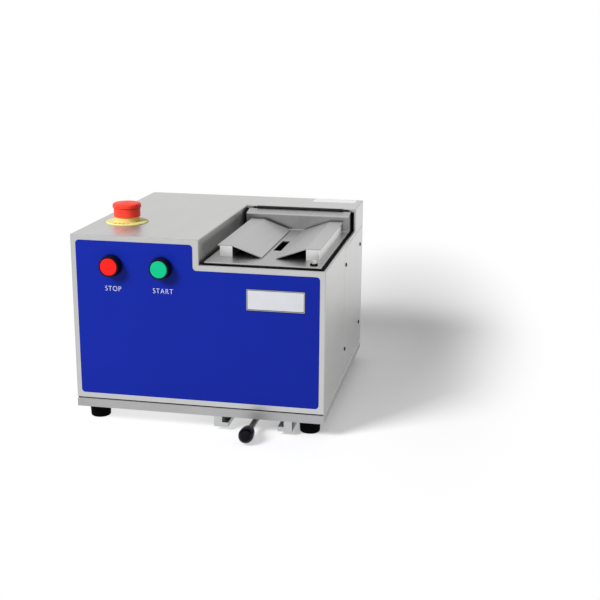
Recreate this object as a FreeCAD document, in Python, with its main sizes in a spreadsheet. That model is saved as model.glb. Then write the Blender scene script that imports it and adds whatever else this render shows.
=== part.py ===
import FreeCAD, Part
import math
import os
import re
import Sketcher

# Bench-top saw that cuts a slot through the rim seam of a can laid in the cradle on its lid.
# X runs to the operator's right, Y to the back and Z up, in millimetres.
# The frame's origin is on the bench, under the middle of the machine with its tray closed.

SIZES = {
    # steel casing
    "casing_width": 350.0,
    "casing_depth": 356.0,
    "casing_height": 231.6,
    "casing_sheet": 2.0,
    "bend_radius": 1.5,
    "notch_width": 170.8,
    "notch_drop": 34.8,
    "notch_depth": 275.0,
    "window_margin": 10.5,
    "window_front": 15.5,
    # base plate, its seal and its feet
    "base_thick": 12.0,
    "base_bevel": 1.2,
    "seal_thick": 1.8,
    "seal_inset": 1.2,
    "seal_width": 8.0,
    "foot_height": 20.6,
    "foot_radius": 15.0,
    "foot_taper": 1.3,
    "foot_inset_x": 23.5,
    "foot_inset_y": 26.5,
    "foot_round": 1.0,
    "foot_stud_radius": 4.0,
    "foot_stud_length": 9.0,
    # front label and the buttons in it
    "label_thick": 0.6,
    "label_margin": 7.4,
    "label_corner": 5.0,
    "label_step_margin": 8.5,
    "button_inset": 40.3,
    "stop_inset": 57.8,
    "start_inset": 51.5,
    "panel_hole": 11.15,
    "bezel_radius": 15.0,
    "bezel_nose": 13.6,
    "bezel_length": 12.2,
    "bezel_flange": 3.2,
    "cap_radius": 11.6,
    "cap_proud": 0.5,
    "cap_thick": 5.2,
    "button_travel": 3.5,
    "stem_radius": 7.4,
    "barrel_length": 14.0,
    "contact_depth": 30.0,
    "contact_width": 22.0,
    "contact_height": 28.0,
    "nut_thick": 3.2,
    "nut_radius": 14.0,
    # emergency stop on the top sheet
    "estop_inset": 46.0,
    "estop_y": 99.0,
    "legend_radius": 30.0,
    "legend_thick": 1.5,
    "collar_radius": 17.4,
    "collar_height": 13.0,
    "skirt_radius": 18.8,
    "skirt_height": 12.8,
    "skirt_gap": 7.0,
    "mushroom_radius": 20.1,
    "mushroom_thick": 6.2,
    "mushroom_dome": 2.4,
    "mushroom_round": 2.0,
    "lip_groove": 0.9,
    "estop_stem": 6.0,
    "estop_travel": 4.0,
    # lid, its seal and its hinge
    "lid_sheet": 2.0,
    "lid_rise": 3.4,
    "lid_front": 10.0,
    "lid_left_gap": 4.8,
    "lid_right_gap": 7.5,
    "lid_wall_setback": 26.0,
    "lid_wall_drop": 7.6,
    "lid_strip_rise": 3.5,
    "lid_bend": 2.2,
    "gasket_thick": 1.1,
    "gasket_front": 5.4,
    "gasket_border": 3.2,
    "knuckle_radius": 2.3,
    "hinge_pin_radius": 1.1,
    "hinge_leaf": 1.2,
    "hinge_leaf_width": 17.0,
    "hinge_inset": 12.0,
    "hinge_knuckles": 7,
    # can cradle on the lid
    "saw_offset": 0.95,
    "slot_width": 11.0,
    "slot_end_gap": 3.0,
    "bar_width": 17.5,
    "bar_height": 15.0,
    "bar_margin": 10.9,
    "cradle_front": 46.5,
    "cradle_back_gap": 7.5,
    "flap_sheet": 1.5,
    "flap_overhang": 2.2,
    "flap_angle": 20.0,
    "flap_clear": 0.2,
    # thumb screw that locks the lid
    "thumb_inset": 12.3,
    "thumb_y": 22.2,
    "thumb_radius": 3.6,
    "thumb_height": 4.6,
    "thumb_stem": 2.0,
    "knurl_radius": 0.5,
    "knurl_count": 12,
    "thumb_washer": 5.3,
    "washer_thick": 2.2,
    "catch_thick": 2.5,
    "catch_clearance": 1.6,
    # access covers
    "side_cover_sheet": 1.0,
    "side_cover_width": 185.0,
    "side_cover_end": 3.3,
    "side_cover_top": 5.3,
    "side_screw_front": 11.5,
    "side_screw_back": 25.0,
    "side_screw_top": 25.5,
    "side_screw_low": 37.5,
    "cover_gap": 0.8,
    "rear_panel_sheet": 1.5,
    "rear_panel_inset": 25.0,
    "rear_panel_top": 27.6,
    "rear_panel_foot": 14.0,
    "cover_lap": 12.0,
    "vent_width": 4.0,
    "vent_length": 46.0,
    "vent_pitch": 9.0,
    "vent_count": 8,
    "screw_head": 3.2,
    "screw_head_thick": 1.6,
    "screw_shank": 1.9,
    "screw_length": 6.0,
    # power inlet
    "inlet_inset": 38.0,
    "inlet_width": 48.0,
    "inlet_height": 30.0,
    "inlet_rim": 2.6,
    "inlet_body": 26.0,
    "recess_width": 24.0,
    "recess_height": 16.0,
    "recess_chamfer": 4.5,
    "recess_depth": 16.0,
    "pin_width": 2.0,
    "pin_height": 4.0,
    "pin_spacing": 7.0,
    "pin_length": 13.0,
    # chip tray under the base
    "foot_rail_gap": 5.4,
    "rail_gap": 86.4,
    "rail_leg": 11.3,
    "rail_height": 15.2,
    "rail_flange": 8.4,
    "rail_flange_thick": 6.5,
    "rail_front": 1.0,
    "rail_length": 300.0,
    "tray_lead": 20.0,
    "tray_length": 226.0,
    "tray_sheet": 1.2,
    "tray_gap": 0.6,
    "tray_drop": 1.0,
    "rod_radius": 4.2,
    "rod_height": 11.8,
    "knob_radius": 10.3,
    "knob_length": 36.0,
    "knob_nose": 13.4,
    "knob_neck": 5.2,
    "knob_reach": 51.0,
    # chip chute
    "chute_sheet": 1.5,
    "chute_drop": 11.7,
    "chute_mouth_width": 46.0,
    "chute_lead": 5.0,
    "chute_trail": 15.0,
    "chute_foot_width": 38.0,
    "chute_taper_front": 8.0,
    "chute_taper_back": 12.0,
    # swinging saw arm
    "motor_inset": 61.0,
    "motor_rise": 71.7,
    "motor_reach": 76.0,
    "pivot_rise": 53.7,
    "arm_reach": 108.0,
    "blade_rest_gap": 10.3,
    "saw_lift": 12.0,
    "arm_thick": 8.0,
    "arm_nose": 26.0,
    "arm_heel": 21.0,
    "pivot_radius": 8.0,
    "bush_wall": 3.0,
    "hub_radius": 16.0,
    "hub_length": 20.0,
    "hub_offset": 2.0,
    "bracket_thick": 8.0,
    "bracket_radius": 14.0,
    "bracket_flare": 3.0,
    "bracket_foot": 34.0,
    "bracket_foot_thick": 7.0,
    "thrust_gap": 0.5,
    # saw spindle, blades and drive
    "blade_radius": 50.0,
    "blade_thick": 1.2,
    "blade_spacing": 4.6,
    "blade_teeth": 48,
    "tooth_depth": 2.6,
    "tooth_relief": 0.35,
    "flange_radius": 17.0,
    "flange_thick": 5.3,
    "arbor_radius": 6.0,
    "housing_radius": 20.0,
    "housing_flange": 4.0,
    "housing_length": 42.0,
    "arbor_collar": 3.7,
    "bearing_radius": 14.0,
    "bearing_width": 8.0,
    "nut_width": 19.0,
    "arbor_nut_thick": 8.0,
    "arbor_end": 2.0,
    "pulley_width": 12.0,
    "pulley_gap": 2.5,
    "arbor_pulley": 18.0,
    "motor_pulley": 24.0,
    "belt_width": 8.0,
    "belt_thick": 4.0,
    "pulley_lip": 2.0,
    "motor_radius": 42.0,
    "motor_length": 120.0,
    "motor_bell": 18.0,
    "motor_fin": 4.0,
    "motor_fin_thick": 2.4,
    "motor_fin_count": 16,
    "motor_shaft": 7.0,
    # feed gear that lifts the arm
    "gear_module": 1.5,
    "sector_pitch_teeth": 96,
    "sector_teeth": 9,
    "pinion_teeth": 16,
    "gear_thick": 6.0,
    "gear_lap": 1.0,
    "gear_backlash": 0.3,
    "feed_shaft": 4.0,
    "feed_shaft_end": 3.0,
    "feed_shaft_gap": 2.0,
    "feed_box": 46.0,
    "feed_box_length": 36.0,
    "feed_motor_radius": 19.0,
    "feed_motor_length": 42.0,
    "feed_offset": 37.0,
    "feed_bracket_thick": 5.0,
    # electrics in the left bay
    "din_front": 60.0,
    "din_length": 240.0,
    "din_width": 35.0,
    "din_height": 7.5,
    "din_sheet": 1.2,
    "contactor_width": 45.0,
    "contactor_depth": 60.0,
    "contactor_height": 70.0,
    "supply_depth": 78.0,
    "supply_height": 92.0,
    "terminal_depth": 48.0,
    "terminal_height": 44.0,
    "device_gap": 8.0,
    # clearances
    "running_gap": 0.3,
    "bearing_gap": 0.05,
}

# places that follow from the sizes, by the names that the pieces below use for them
TIES = {
    "saw_x": "(casing_width / 2 - notch_width / 2 + (lid_left_gap - lid_right_gap) / 2 + saw_offset)",
    "thumb_x": "(casing_width / 2 - lid_right_gap - thumb_inset)",
    "stop_x": "(stop_inset - casing_width / 2)",
    "start_x": "(casing_width / 2 - notch_width - start_inset)",
    "estop_x": "(estop_inset - casing_width / 2)",
    "button_height": "(casing_height - button_inset)",
    "lid_wall": "(notch_depth - lid_wall_setback)",
    "lid_wall_height": "(notch_drop - lid_rise - lid_wall_drop)",
    "bar_spacing": "(notch_width - lid_left_gap - lid_right_gap - bar_width - 2 * bar_margin)",
    "cradle_length": "(lid_wall - cradle_front - cradle_back_gap)",
    "side_cover_back": "(casing_depth - side_cover_end)",
    "side_cover_front": "(side_cover_back - side_cover_width)",
    "side_cover_height": "(casing_height - notch_drop - side_cover_top)",
    "rear_panel_width": "(casing_width - 2 * rear_panel_inset)",
    "rear_panel_height": "(casing_height - rear_panel_foot - rear_panel_top)",
    "inlet_x": "(inlet_inset - rear_panel_width / 2)",
    "motor_y": "(casing_depth - motor_inset)",
    "pivot_y": "(motor_y - motor_reach)",
    "arbor_y": "(pivot_y - arm_reach)",
    "collar_x": "(saw_x - blade_spacing / 2 - blade_thick / 2 - flange_thick - arbor_collar)",
    "arm_x": "(collar_x - running_gap - housing_length - arm_thick)",
    "feed_bracket_x": "(arm_x - feed_offset)",
    "feed_end_x": "(feed_bracket_x - feed_box_length - feed_motor_length)",
    "din_x": "((casing_sheet - casing_width / 2 + feed_end_x) / 2)",
    "chute_mouth_front": "(arbor_y - blade_radius - chute_lead)",
    "chute_mouth_back": "(arbor_y + blade_radius + chute_trail)",
    "chute_foot_front": "(chute_mouth_front + chute_taper_front)",
    "chute_foot_back": "(chute_mouth_back - chute_taper_back)",
    "tray_front": "(chute_foot_front - tray_lead)",
    "tray_x": "(casing_width / 2 - foot_inset_x - foot_radius - foot_rail_gap - rail_leg - rail_gap / 2)",
}

BASE_TOP = "(foot_height + base_thick)"
CASE_BOTTOM = "(foot_height + base_thick + seal_thick)"
CASE_TOP = "(foot_height + base_thick + seal_thick + casing_height)"
RIM = f"({CASE_TOP} - notch_drop)"
LID_TOP = f"({RIM} + lid_rise)"
LID_UNDER = f"({LID_TOP} - lid_sheet)"
HALF = "(casing_width / 2)"
NOTCH_X = "(casing_width / 2 - notch_width)"
LID_LEFT = f"({NOTCH_X} + lid_left_gap)"
LID_RIGHT = f"({HALF} - lid_right_gap)"
HINGE_Y = "(notch_depth - knuckle_radius - running_gap)"
HINGE_Z = f"({CASE_TOP} - knuckle_radius - running_gap)"
FRONT = "((knob_reach - casing_depth - rear_panel_sheet - inlet_rim) / 2)"
ARBOR_Z = f"({LID_UNDER} - blade_rest_gap - blade_radius)"
PIVOT_Z = f"({BASE_TOP} + pivot_rise)"
MOTOR_Z = f"({BASE_TOP} + motor_rise)"
ARM_RIGHT = "(arm_x + arm_thick)"
PULLEY_X = "(arm_x - pulley_gap - pulley_width)"
HUB_X = "(arm_x + arm_thick / 2 - hub_length / 2 + hub_offset)"

os.makedirs("parts", exist_ok=True)
doc = FreeCAD.newDocument("CanRimSaw")
sheet = doc.addObject("Spreadsheet::Sheet", "Sizes")
for row, (alias, number) in enumerate(SIZES.items(), start=1):
    sheet.set(f"A{row}", alias)
    sheet.set(f"B{row}", str(number))
    sheet.setAlias(f"B{row}", alias)
doc.recompute()
PIECES = []


def spell(text):
    """Write each tied place in full and each size's name as the sheet's cell."""
    def full(match):
        name = match[0]
        if name in TIES:
            return spell(TIES[name])
        return f"Sizes.{name}" if name in SIZES else name

    return re.sub(r"[a-z][a-z_]*", full, text)


def value(text):
    return float(sheet.evalExpression(spell(text)))


def bind(thing, prop, text):
    thing.setExpression(prop, spell(text))


def place(thing, x="0", y="0", z="0"):
    """Put a piece in the machine's frame: y counts from the casing's front."""
    bind(thing, "Placement.Base.x", x)
    bind(thing, "Placement.Base.y", f"{FRONT} + {y}")
    bind(thing, "Placement.Base.z", z)


def rect(x0, y0, x1, y1):
    return [(x0, y0), (x1, y0), (x1, y1), (x0, y1)]


class Piece:
    """One sub-part as a body of sketched features."""

    def __init__(self, label, x="0", y="0", z="0"):
        self.body = doc.addObject("PartDesign::Body", label)
        self.body.Label = label
        place(self.body, x, y, z)
        PIECES.append(self.body)

    def sketch(self, plane, loops, start):
        origin = self.body.Origin.OriginFeatures
        face = [one for one in origin if one.Role == plane][0]
        sketch = self.body.newObject("Sketcher::SketchObject", self.body.Label + "_sketch")
        sketch.AttachmentSupport = [(face, "")]
        sketch.MapMode = "FlatFace"
        sign = "-1" if plane == "XZ_Plane" else "1"
        bind(sketch, "AttachmentOffset.Base.z", f"{sign} * ({start})")
        for loop in loops:
            if loop[0] == "circle":
                self.draw_circle(sketch, *loop[1:])
            else:
                self.draw_polygon(sketch, loop)
        return sketch

    def pin(self, sketch, index, point, u, v):
        for kind, text in (("DistanceX", u), ("DistanceY", v)):
            rule = Sketcher.Constraint(kind, -1, 1, index, point, value(text))
            number = sketch.addConstraint(rule)
            bind(sketch, f"Constraints[{number}]", text)

    def draw_circle(self, sketch, u, v, radius):
        centre = FreeCAD.Vector(value(u), value(v), 0)
        circle = Part.Circle(centre, FreeCAD.Vector(0, 0, 1), value(radius))
        index = sketch.addGeometry(circle, False)
        self.pin(sketch, index, 3, u, v)
        number = sketch.addConstraint(Sketcher.Constraint("Radius", index, value(radius)))
        bind(sketch, f"Constraints[{number}]", radius)

    def draw_polygon(self, sketch, points):
        first = sketch.GeometryCount
        spots = [FreeCAD.Vector(value(u), value(v), 0) for u, v in points]
        ends = spots[1:] + spots[:1]
        for spot, end in zip(spots, ends):
            sketch.addGeometry(Part.LineSegment(spot, end), False)
        for index in range(len(points)):
            after = first + (index + 1) % len(points)
            sketch.addConstraint(Sketcher.Constraint("Coincident", first + index, 2, after, 1))
        for index, (u, v) in enumerate(points):
            self.pin(sketch, first + index, 1, u, v)

    def add(self, kind, plane, loops, start, length):
        profile = self.sketch(plane, loops, start)
        feature = self.body.newObject(f"PartDesign::{kind}", f"{self.body.Label}_{kind.lower()}")
        feature.Profile = profile
        bind(feature, "Length", length)
        feature.Reversed = (plane == "XZ_Plane") == (kind == "Pad")
        profile.Visibility = False
        return feature

    def pad(self, plane, loops, start, length):
        """Add material from start to start + length along the plane's own axis."""
        return self.add("Pad", plane, loops, start, length)

    def pocket(self, plane, loops, start, length):
        """Remove material from start to start + length along the plane's own axis."""
        return self.add("Pocket", plane, loops, start, length)

    def turn(self, kind, plane, points, axis):
        """Revolution or Groove of a profile about the sketch's own axis."""
        profile = self.sketch(plane, [points], "0")
        feature = self.body.newObject(f"PartDesign::{kind}", f"{self.body.Label}_{kind.lower()}")
        feature.Profile = profile
        feature.ReferenceAxis = (profile, [axis])
        feature.Angle = 360
        return feature

    def soften(self, kind, size, test):
        """Fillet or Chamfer on the edges that pass the test."""
        doc.recompute()
        base = self.body.Tip
        names = [f"Edge{n}" for n, edge in enumerate(base.Shape.Edges, start=1) if test(edge)]
        feature = self.body.newObject(f"PartDesign::{kind}", f"{self.body.Label}_{kind.lower()}")
        feature.Base = (base, names)
        bind(feature, "Radius" if kind == "Fillet" else "Size", size)
        return feature

    def repeat(self, feature, axis, count):
        """Polar pattern of a feature about one of the body's own axes."""
        line = [one for one in self.body.Origin.OriginFeatures if one.Role == axis][0]
        pattern = self.body.newObject("PartDesign::PolarPattern", self.body.Label + "_pattern")
        pattern.Originals = [feature]
        pattern.Axis = (line, [""])
        pattern.Angle = 360
        bind(pattern, "Occurrences", count)
        self.body.Tip = pattern
        return pattern


def lies(edge, **spots):
    """True when both ends of an edge have the given coordinates."""
    for name, text in spots.items():
        for vertex in edge.Vertexes:
            if abs(getattr(vertex, name.upper()) - value(text)) > 0.01:
                return False
    return True


def runs(edge, name):
    """True when a straight edge runs along the named axis."""
    if edge.Curve.TypeId != "Part::GeomLine":
        return False
    return abs(getattr(edge.Curve.Direction, name)) > 0.999


def made(label, shape):
    """A piece whose shape is worked out in code from the sheet's sizes."""
    thing = doc.addObject("Part::Feature", label)
    thing.Label = label
    thing.Shape = shape
    place(thing)
    PIECES.append(thing)
    return thing


def spot(x, y, z):
    return FreeCAD.Vector(value(x), value(y), value(z))


AXES = {"x": FreeCAD.Vector(1, 0, 0), "y": FreeCAD.Vector(0, 1, 0), "z": FreeCAD.Vector(0, 0, 1)}


def bar(axis, radius, length, x, y, z):
    """Round bar that starts at a spot and runs along an axis."""
    return Part.makeCylinder(value(radius), value(length), spot(x, y, z), AXES[axis])


def block(x0, y0, z0, x1, y1, z1):
    low = spot(x0, y0, z0)
    high = spot(x1, y1, z1)
    return Part.makeBox(high.x - low.x, high.y - low.y, high.z - low.z, low)


def band(first, first_radius, second, second_radius, x, width):
    """Closed outline round two circles with its outer tangents, made solid along X."""
    ay, az = first
    by, bz = second
    reach = math.hypot(by - ay, bz - az)
    heading = math.atan2(bz - az, by - ay)
    lean = math.acos((first_radius - second_radius) / reach)

    def on(centre, radius, angle):
        return FreeCAD.Vector(x, centre[0] + radius * math.cos(angle), centre[1] + radius * math.sin(angle))

    upper = heading + lean
    lower = heading - lean
    edges = [
        Part.Arc(on(first, first_radius, upper), on(first, first_radius, heading + math.pi),
                 on(first, first_radius, lower)).toShape(),
        Part.makeLine(on(first, first_radius, lower), on(second, second_radius, lower)),
        Part.Arc(on(second, second_radius, lower), on(second, second_radius, heading),
                 on(second, second_radius, upper)).toShape(),
        Part.makeLine(on(second, second_radius, upper), on(first, first_radius, upper)),
    ]
    return Part.Face(Part.Wire(edges)).extrude(FreeCAD.Vector(width, 0, 0))


# base plate: one thick rectangular plate with its top edge bevelled
base = Piece("base_plate")
base.pad("XY_Plane", [rect(f"-{HALF}", "0", HALF, "casing_depth")], "foot_height", "base_thick")
base.soften("Chamfer", "base_bevel", lambda e: lies(e, z=BASE_TOP))
base.pocket("XY_Plane", [rect("saw_x - chute_foot_width / 2", "chute_foot_front",
                              "saw_x + chute_foot_width / 2", "chute_foot_back")],
            "foot_height", "base_thick")
FOOT_SPOTS = [(f"{side} * ({HALF} - foot_inset_x)", depth)
              for side in ("-1", "1")
              for depth in ("foot_inset_y", "(casing_depth - foot_inset_y)")]
base.pocket("XY_Plane", [("circle", x, y, "foot_stud_radius + bearing_gap") for x, y in FOOT_SPOTS],
            "foot_height", "foot_stud_length + running_gap")

# rubber feet: round buffers that narrow to a bevelled sole, each with a moulded stud in the base plate
feet = []
for x, y in FOOT_SPOTS:
    foot = Part.makeCone(value("foot_radius - foot_taper"), value("foot_radius"), value("foot_height"),
                         spot(x, y, "0"))
    sole = [e for e in foot.Edges if e.BoundBox.ZMax < 0.01 and e.Curve.TypeId == "Part::GeomCircle"]
    foot = foot.makeChamfer(value("foot_round"), sole)
    feet.append(foot.fuse(bar("z", "foot_stud_radius", "foot_stud_length", x, y, "foot_height")))
made("rubber_feet", Part.makeCompound(feet))

# base seal: flat rubber frame between casing and base plate
seal = Piece("base_seal")
seal.pad("XY_Plane", [
    rect(f"seal_inset - {HALF}", "seal_inset", f"{HALF} - seal_inset", "casing_depth - seal_inset"),
    rect(f"seal_inset + seal_width - {HALF}", "seal_inset + seal_width",
         f"{HALF} - seal_inset - seal_width", "casing_depth - seal_inset - seal_width"),
], BASE_TOP, "seal_thick")

# casing: folded sheet box, open below, with a notch at the top right for the lid
casing = Piece("casing")
casing.pad("XZ_Plane", [rect(f"-{HALF}", CASE_BOTTOM, HALF, CASE_TOP)], "0", "casing_depth")
casing.pocket("XZ_Plane", [rect(NOTCH_X, RIM, f"{HALF} + bend_radius", f"{CASE_TOP} + bend_radius")],
              "0", "notch_depth")


def is_outer_bend(edge):
    inner = (lies(edge, x=NOTCH_X, z=RIM) or lies(edge, y="notch_depth", z=RIM)
             or lies(edge, x=NOTCH_X, y="notch_depth"))
    return not inner and not lies(edge, z=CASE_BOTTOM)


casing.soften("Fillet", "bend_radius", is_outer_bend)
casing.pocket("XY_Plane", [rect(f"casing_sheet - {HALF}", "casing_sheet",
                                f"{HALF} - casing_sheet", "casing_depth - casing_sheet")],
              CASE_BOTTOM, f"{RIM} - casing_sheet - {CASE_BOTTOM}")
casing.pocket("XY_Plane", [rect(f"casing_sheet - {HALF}", "casing_sheet",
                                f"{NOTCH_X} - casing_sheet", "casing_depth - casing_sheet")],
              f"{RIM} - casing_sheet", "notch_drop")
casing.pocket("XY_Plane", [rect(f"{NOTCH_X} - casing_sheet", "notch_depth + casing_sheet",
                                f"{HALF} - casing_sheet", "casing_depth - casing_sheet")],
              f"{RIM} - casing_sheet", "notch_drop")
WINDOW_LEFT = f"({LID_LEFT} + window_margin - casing_sheet - gasket_border)"
WINDOW_RIGHT = f"({LID_RIGHT} - gasket_border)"
casing.pocket("XY_Plane", [rect(WINDOW_LEFT, "window_front", WINDOW_RIGHT, "notch_depth + casing_sheet")],
              f"{RIM} - casing_sheet", "notch_drop")
BUTTON_Z = f"({CASE_BOTTOM} + button_height)"
BUTTON_HOLES = [("circle", x, BUTTON_Z, "panel_hole") for x in ("stop_x", "start_x")]
casing.pocket("XZ_Plane", BUTTON_HOLES, "0", "casing_sheet")
casing.pocket("XY_Plane", [("circle", "estop_x", "estop_y", "panel_hole")],
              f"{CASE_TOP} - casing_sheet", "casing_sheet")
casing.pocket("YZ_Plane", [rect("side_cover_front - cover_gap", f"{CASE_BOTTOM} + cover_gap",
                                "side_cover_back + cover_gap",
                                f"{CASE_BOTTOM} + side_cover_height + cover_gap")],
              f"{HALF} - side_cover_sheet", "side_cover_sheet")
casing.pocket("YZ_Plane", [rect("side_cover_front + cover_lap + cover_lap / 2",
                                f"{CASE_BOTTOM} + 2 * cover_lap",
                                "side_cover_back - 3 * cover_lap",
                                f"{CASE_BOTTOM} + side_cover_height - 3 * cover_lap")],
              f"{HALF} - casing_sheet", "casing_sheet")
casing.pocket("XZ_Plane", [rect("cover_lap - rear_panel_width / 2",
                                f"{CASE_BOTTOM} + rear_panel_foot + cover_lap",
                                "rear_panel_width / 2 - cover_lap",
                                f"{CASE_BOTTOM} + rear_panel_foot + rear_panel_height - cover_lap")],
              "casing_depth - casing_sheet", "casing_sheet")

# front label: coloured plate with round corners that follows the stepped front
LABEL_STEP = f"({NOTCH_X} - label_step_margin)"
label = Piece("front_label")
label.pad("XZ_Plane", [[
    (f"label_margin - {HALF}", f"{CASE_BOTTOM} + label_margin"),
    (f"{HALF} - label_margin", f"{CASE_BOTTOM} + label_margin"),
    (f"{HALF} - label_margin", f"{RIM} - label_margin"),
    (LABEL_STEP, f"{RIM} - label_margin"),
    (LABEL_STEP, f"{CASE_TOP} - label_margin"),
    (f"label_margin - {HALF}", f"{CASE_TOP} - label_margin"),
]], "-label_thick", "label_thick")
label.soften("Fillet", "label_corner", lambda e: runs(e, "y"))
label.pocket("XZ_Plane", BUTTON_HOLES, "-label_thick", "label_thick")

# push buttons: black bezel with its barrel through the panel, coloured cap, contact block behind
contacts = []
for name, x in (("stop", "stop_x"), ("start", "start_x")):
    bezel = Piece(f"{name}_bezel", x, "-label_thick", BUTTON_Z)
    bezel.turn("Revolution", "YZ_Plane", [
        ("-bezel_length", "cap_radius + running_gap"),
        ("-bezel_length", "bezel_nose"),
        ("-bezel_flange", "bezel_radius"),
        ("0", "bezel_radius"),
        ("0", "panel_hole - bearing_gap"),
        ("barrel_length", "panel_hole - bearing_gap"),
        ("barrel_length", "stem_radius + running_gap"),
        ("-bezel_flange", "stem_radius + running_gap"),
        ("-bezel_flange", "cap_radius + running_gap"),
    ], "H_Axis")
    cap = Piece(f"{name}_button", x, "-label_thick", BUTTON_Z)
    cap.turn("Revolution", "YZ_Plane", [
        ("-bezel_length - cap_proud", "0"),
        ("-bezel_length - cap_proud", "cap_radius - cap_proud"),
        ("-bezel_length", "cap_radius"),
        ("-bezel_length - cap_proud + cap_thick - 0.5 * cap_proud", "cap_radius"),
        ("-bezel_length - cap_proud + cap_thick - 0.5 * cap_proud", "stem_radius"),
        ("barrel_length - button_travel - running_gap", "stem_radius"),
        ("barrel_length - button_travel - running_gap", "0"),
    ], "H_Axis")
    back = "(barrel_length - label_thick)"
    contact = block(f"{x} - contact_width / 2", back, f"{BUTTON_Z} - contact_height / 2",
                    f"{x} + contact_width / 2", f"{back} + contact_depth",
                    f"{BUTTON_Z} + contact_height / 2")
    nut = bar("y", "nut_radius", "nut_thick", x, "casing_sheet", BUTTON_Z)
    nut = nut.cut(bar("y", "panel_hole", "nut_thick", x, "casing_sheet", BUTTON_Z))
    contacts += [contact, nut]

# emergency stop: yellow disc and collar on the top sheet, barrel and contacts below
disc = Piece("estop_disc", "estop_x", "estop_y", CASE_TOP)
disc.turn("Revolution", "XZ_Plane", [
    ("panel_hole", "0"), ("legend_radius", "0"), ("legend_radius", "legend_thick / 2"),
    ("legend_radius - legend_thick / 2", "legend_thick"), ("panel_hole", "legend_thick"),
], "V_Axis")
collar = Piece("estop_collar", "estop_x", "estop_y", CASE_TOP)
collar.turn("Revolution", "XZ_Plane", [
    ("collar_radius", "legend_thick"),
    ("collar_radius", "collar_height"),
    ("estop_stem + running_gap", "collar_height"),
    ("estop_stem + running_gap", "-casing_sheet - barrel_length"),
    ("panel_hole - bearing_gap", "-casing_sheet - barrel_length"),
    ("panel_hole - bearing_gap", "legend_thick"),
], "V_Axis")
ESTOP_BACK = f"({CASE_TOP} - casing_sheet - barrel_length)"
estop_block = block("estop_x - contact_width / 2", "estop_y - contact_height / 2",
                    f"{ESTOP_BACK} - contact_depth", "estop_x + contact_width / 2",
                    "estop_y + contact_height / 2", ESTOP_BACK)
ESTOP_NUT_Z = f"({CASE_TOP} - casing_sheet - nut_thick)"
estop_nut = bar("z", "nut_radius", "nut_thick", "estop_x", "estop_y", ESTOP_NUT_Z)
estop_nut = estop_nut.cut(bar("z", "panel_hole", "nut_thick", "estop_x", "estop_y", ESTOP_NUT_Z))
made("switch_contacts", Part.makeCompound(contacts + [estop_block, estop_nut]))
plunger = Piece("estop_plunger", "estop_x", "estop_y", CASE_TOP)
plunger.turn("Revolution", "XZ_Plane", [
    ("0", "estop_travel + running_gap - casing_sheet - barrel_length"),
    ("estop_stem", "estop_travel + running_gap - casing_sheet - barrel_length"),
    ("estop_stem", "collar_height + estop_travel + running_gap"),
    ("estop_stem / 2", "collar_height + estop_travel + running_gap"),
    ("estop_stem / 2", "legend_thick + skirt_gap + skirt_height + mushroom_thick / 2"),
    ("0", "legend_thick + skirt_gap + skirt_height + mushroom_thick / 2"),
], "V_Axis")
SKIRT = "(legend_thick + skirt_gap)"
HEAD_TOP = f"({SKIRT} + skirt_height + mushroom_thick)"
mushroom = Piece("estop_mushroom", "estop_x", "estop_y", CASE_TOP)
mushroom.turn("Revolution", "XZ_Plane", [
    ("collar_radius + running_gap", SKIRT),
    ("skirt_radius", SKIRT),
    ("skirt_radius", f"{SKIRT} + skirt_height - lip_groove"),
    ("skirt_radius - lip_groove", f"{SKIRT} + skirt_height - lip_groove"),
    ("skirt_radius - lip_groove", f"{SKIRT} + skirt_height"),
    ("mushroom_radius", f"{SKIRT} + skirt_height"),
    ("mushroom_radius", f"{HEAD_TOP} - mushroom_round"),
    ("mushroom_radius - mushroom_round", HEAD_TOP),
    ("0", f"{HEAD_TOP} + mushroom_dome"),
    ("0", f"{SKIRT} + skirt_height + mushroom_thick / 2 + running_gap"),
    ("estop_stem / 2 + bearing_gap", f"{SKIRT} + skirt_height + mushroom_thick / 2 + running_gap"),
    ("estop_stem / 2 + bearing_gap", "collar_height + estop_travel + 2 * running_gap"),
    ("collar_radius + running_gap", "collar_height + estop_travel + 2 * running_gap"),
], "V_Axis")
mushroom.soften("Chamfer", "mushroom_round / 3",
                lambda e: lies(e, z=HEAD_TOP) or lies(e, z=f"{HEAD_TOP} - mushroom_round"))

# side cover: flush access plate in a shallow recess of the right side
cover = Piece("side_cover")
cover.pad("YZ_Plane", [rect("side_cover_front", f"{CASE_BOTTOM} + 2 * cover_gap", "side_cover_back",
                            f"{CASE_BOTTOM} + side_cover_height")],
          f"{HALF} - side_cover_sheet", "side_cover_sheet")
SIDE_SCREWS = [(y, z)
               for y in ("side_cover_front + side_screw_front", "side_cover_back - side_screw_back")
               for z in (f"{CASE_BOTTOM} + side_cover_height - side_screw_top",
                         f"{CASE_BOTTOM} + side_screw_low")]
cover.pocket("YZ_Plane", [("circle", y, z, "screw_head") for y, z in SIDE_SCREWS],
             f"{HALF} - side_cover_sheet", "side_cover_sheet")

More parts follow.
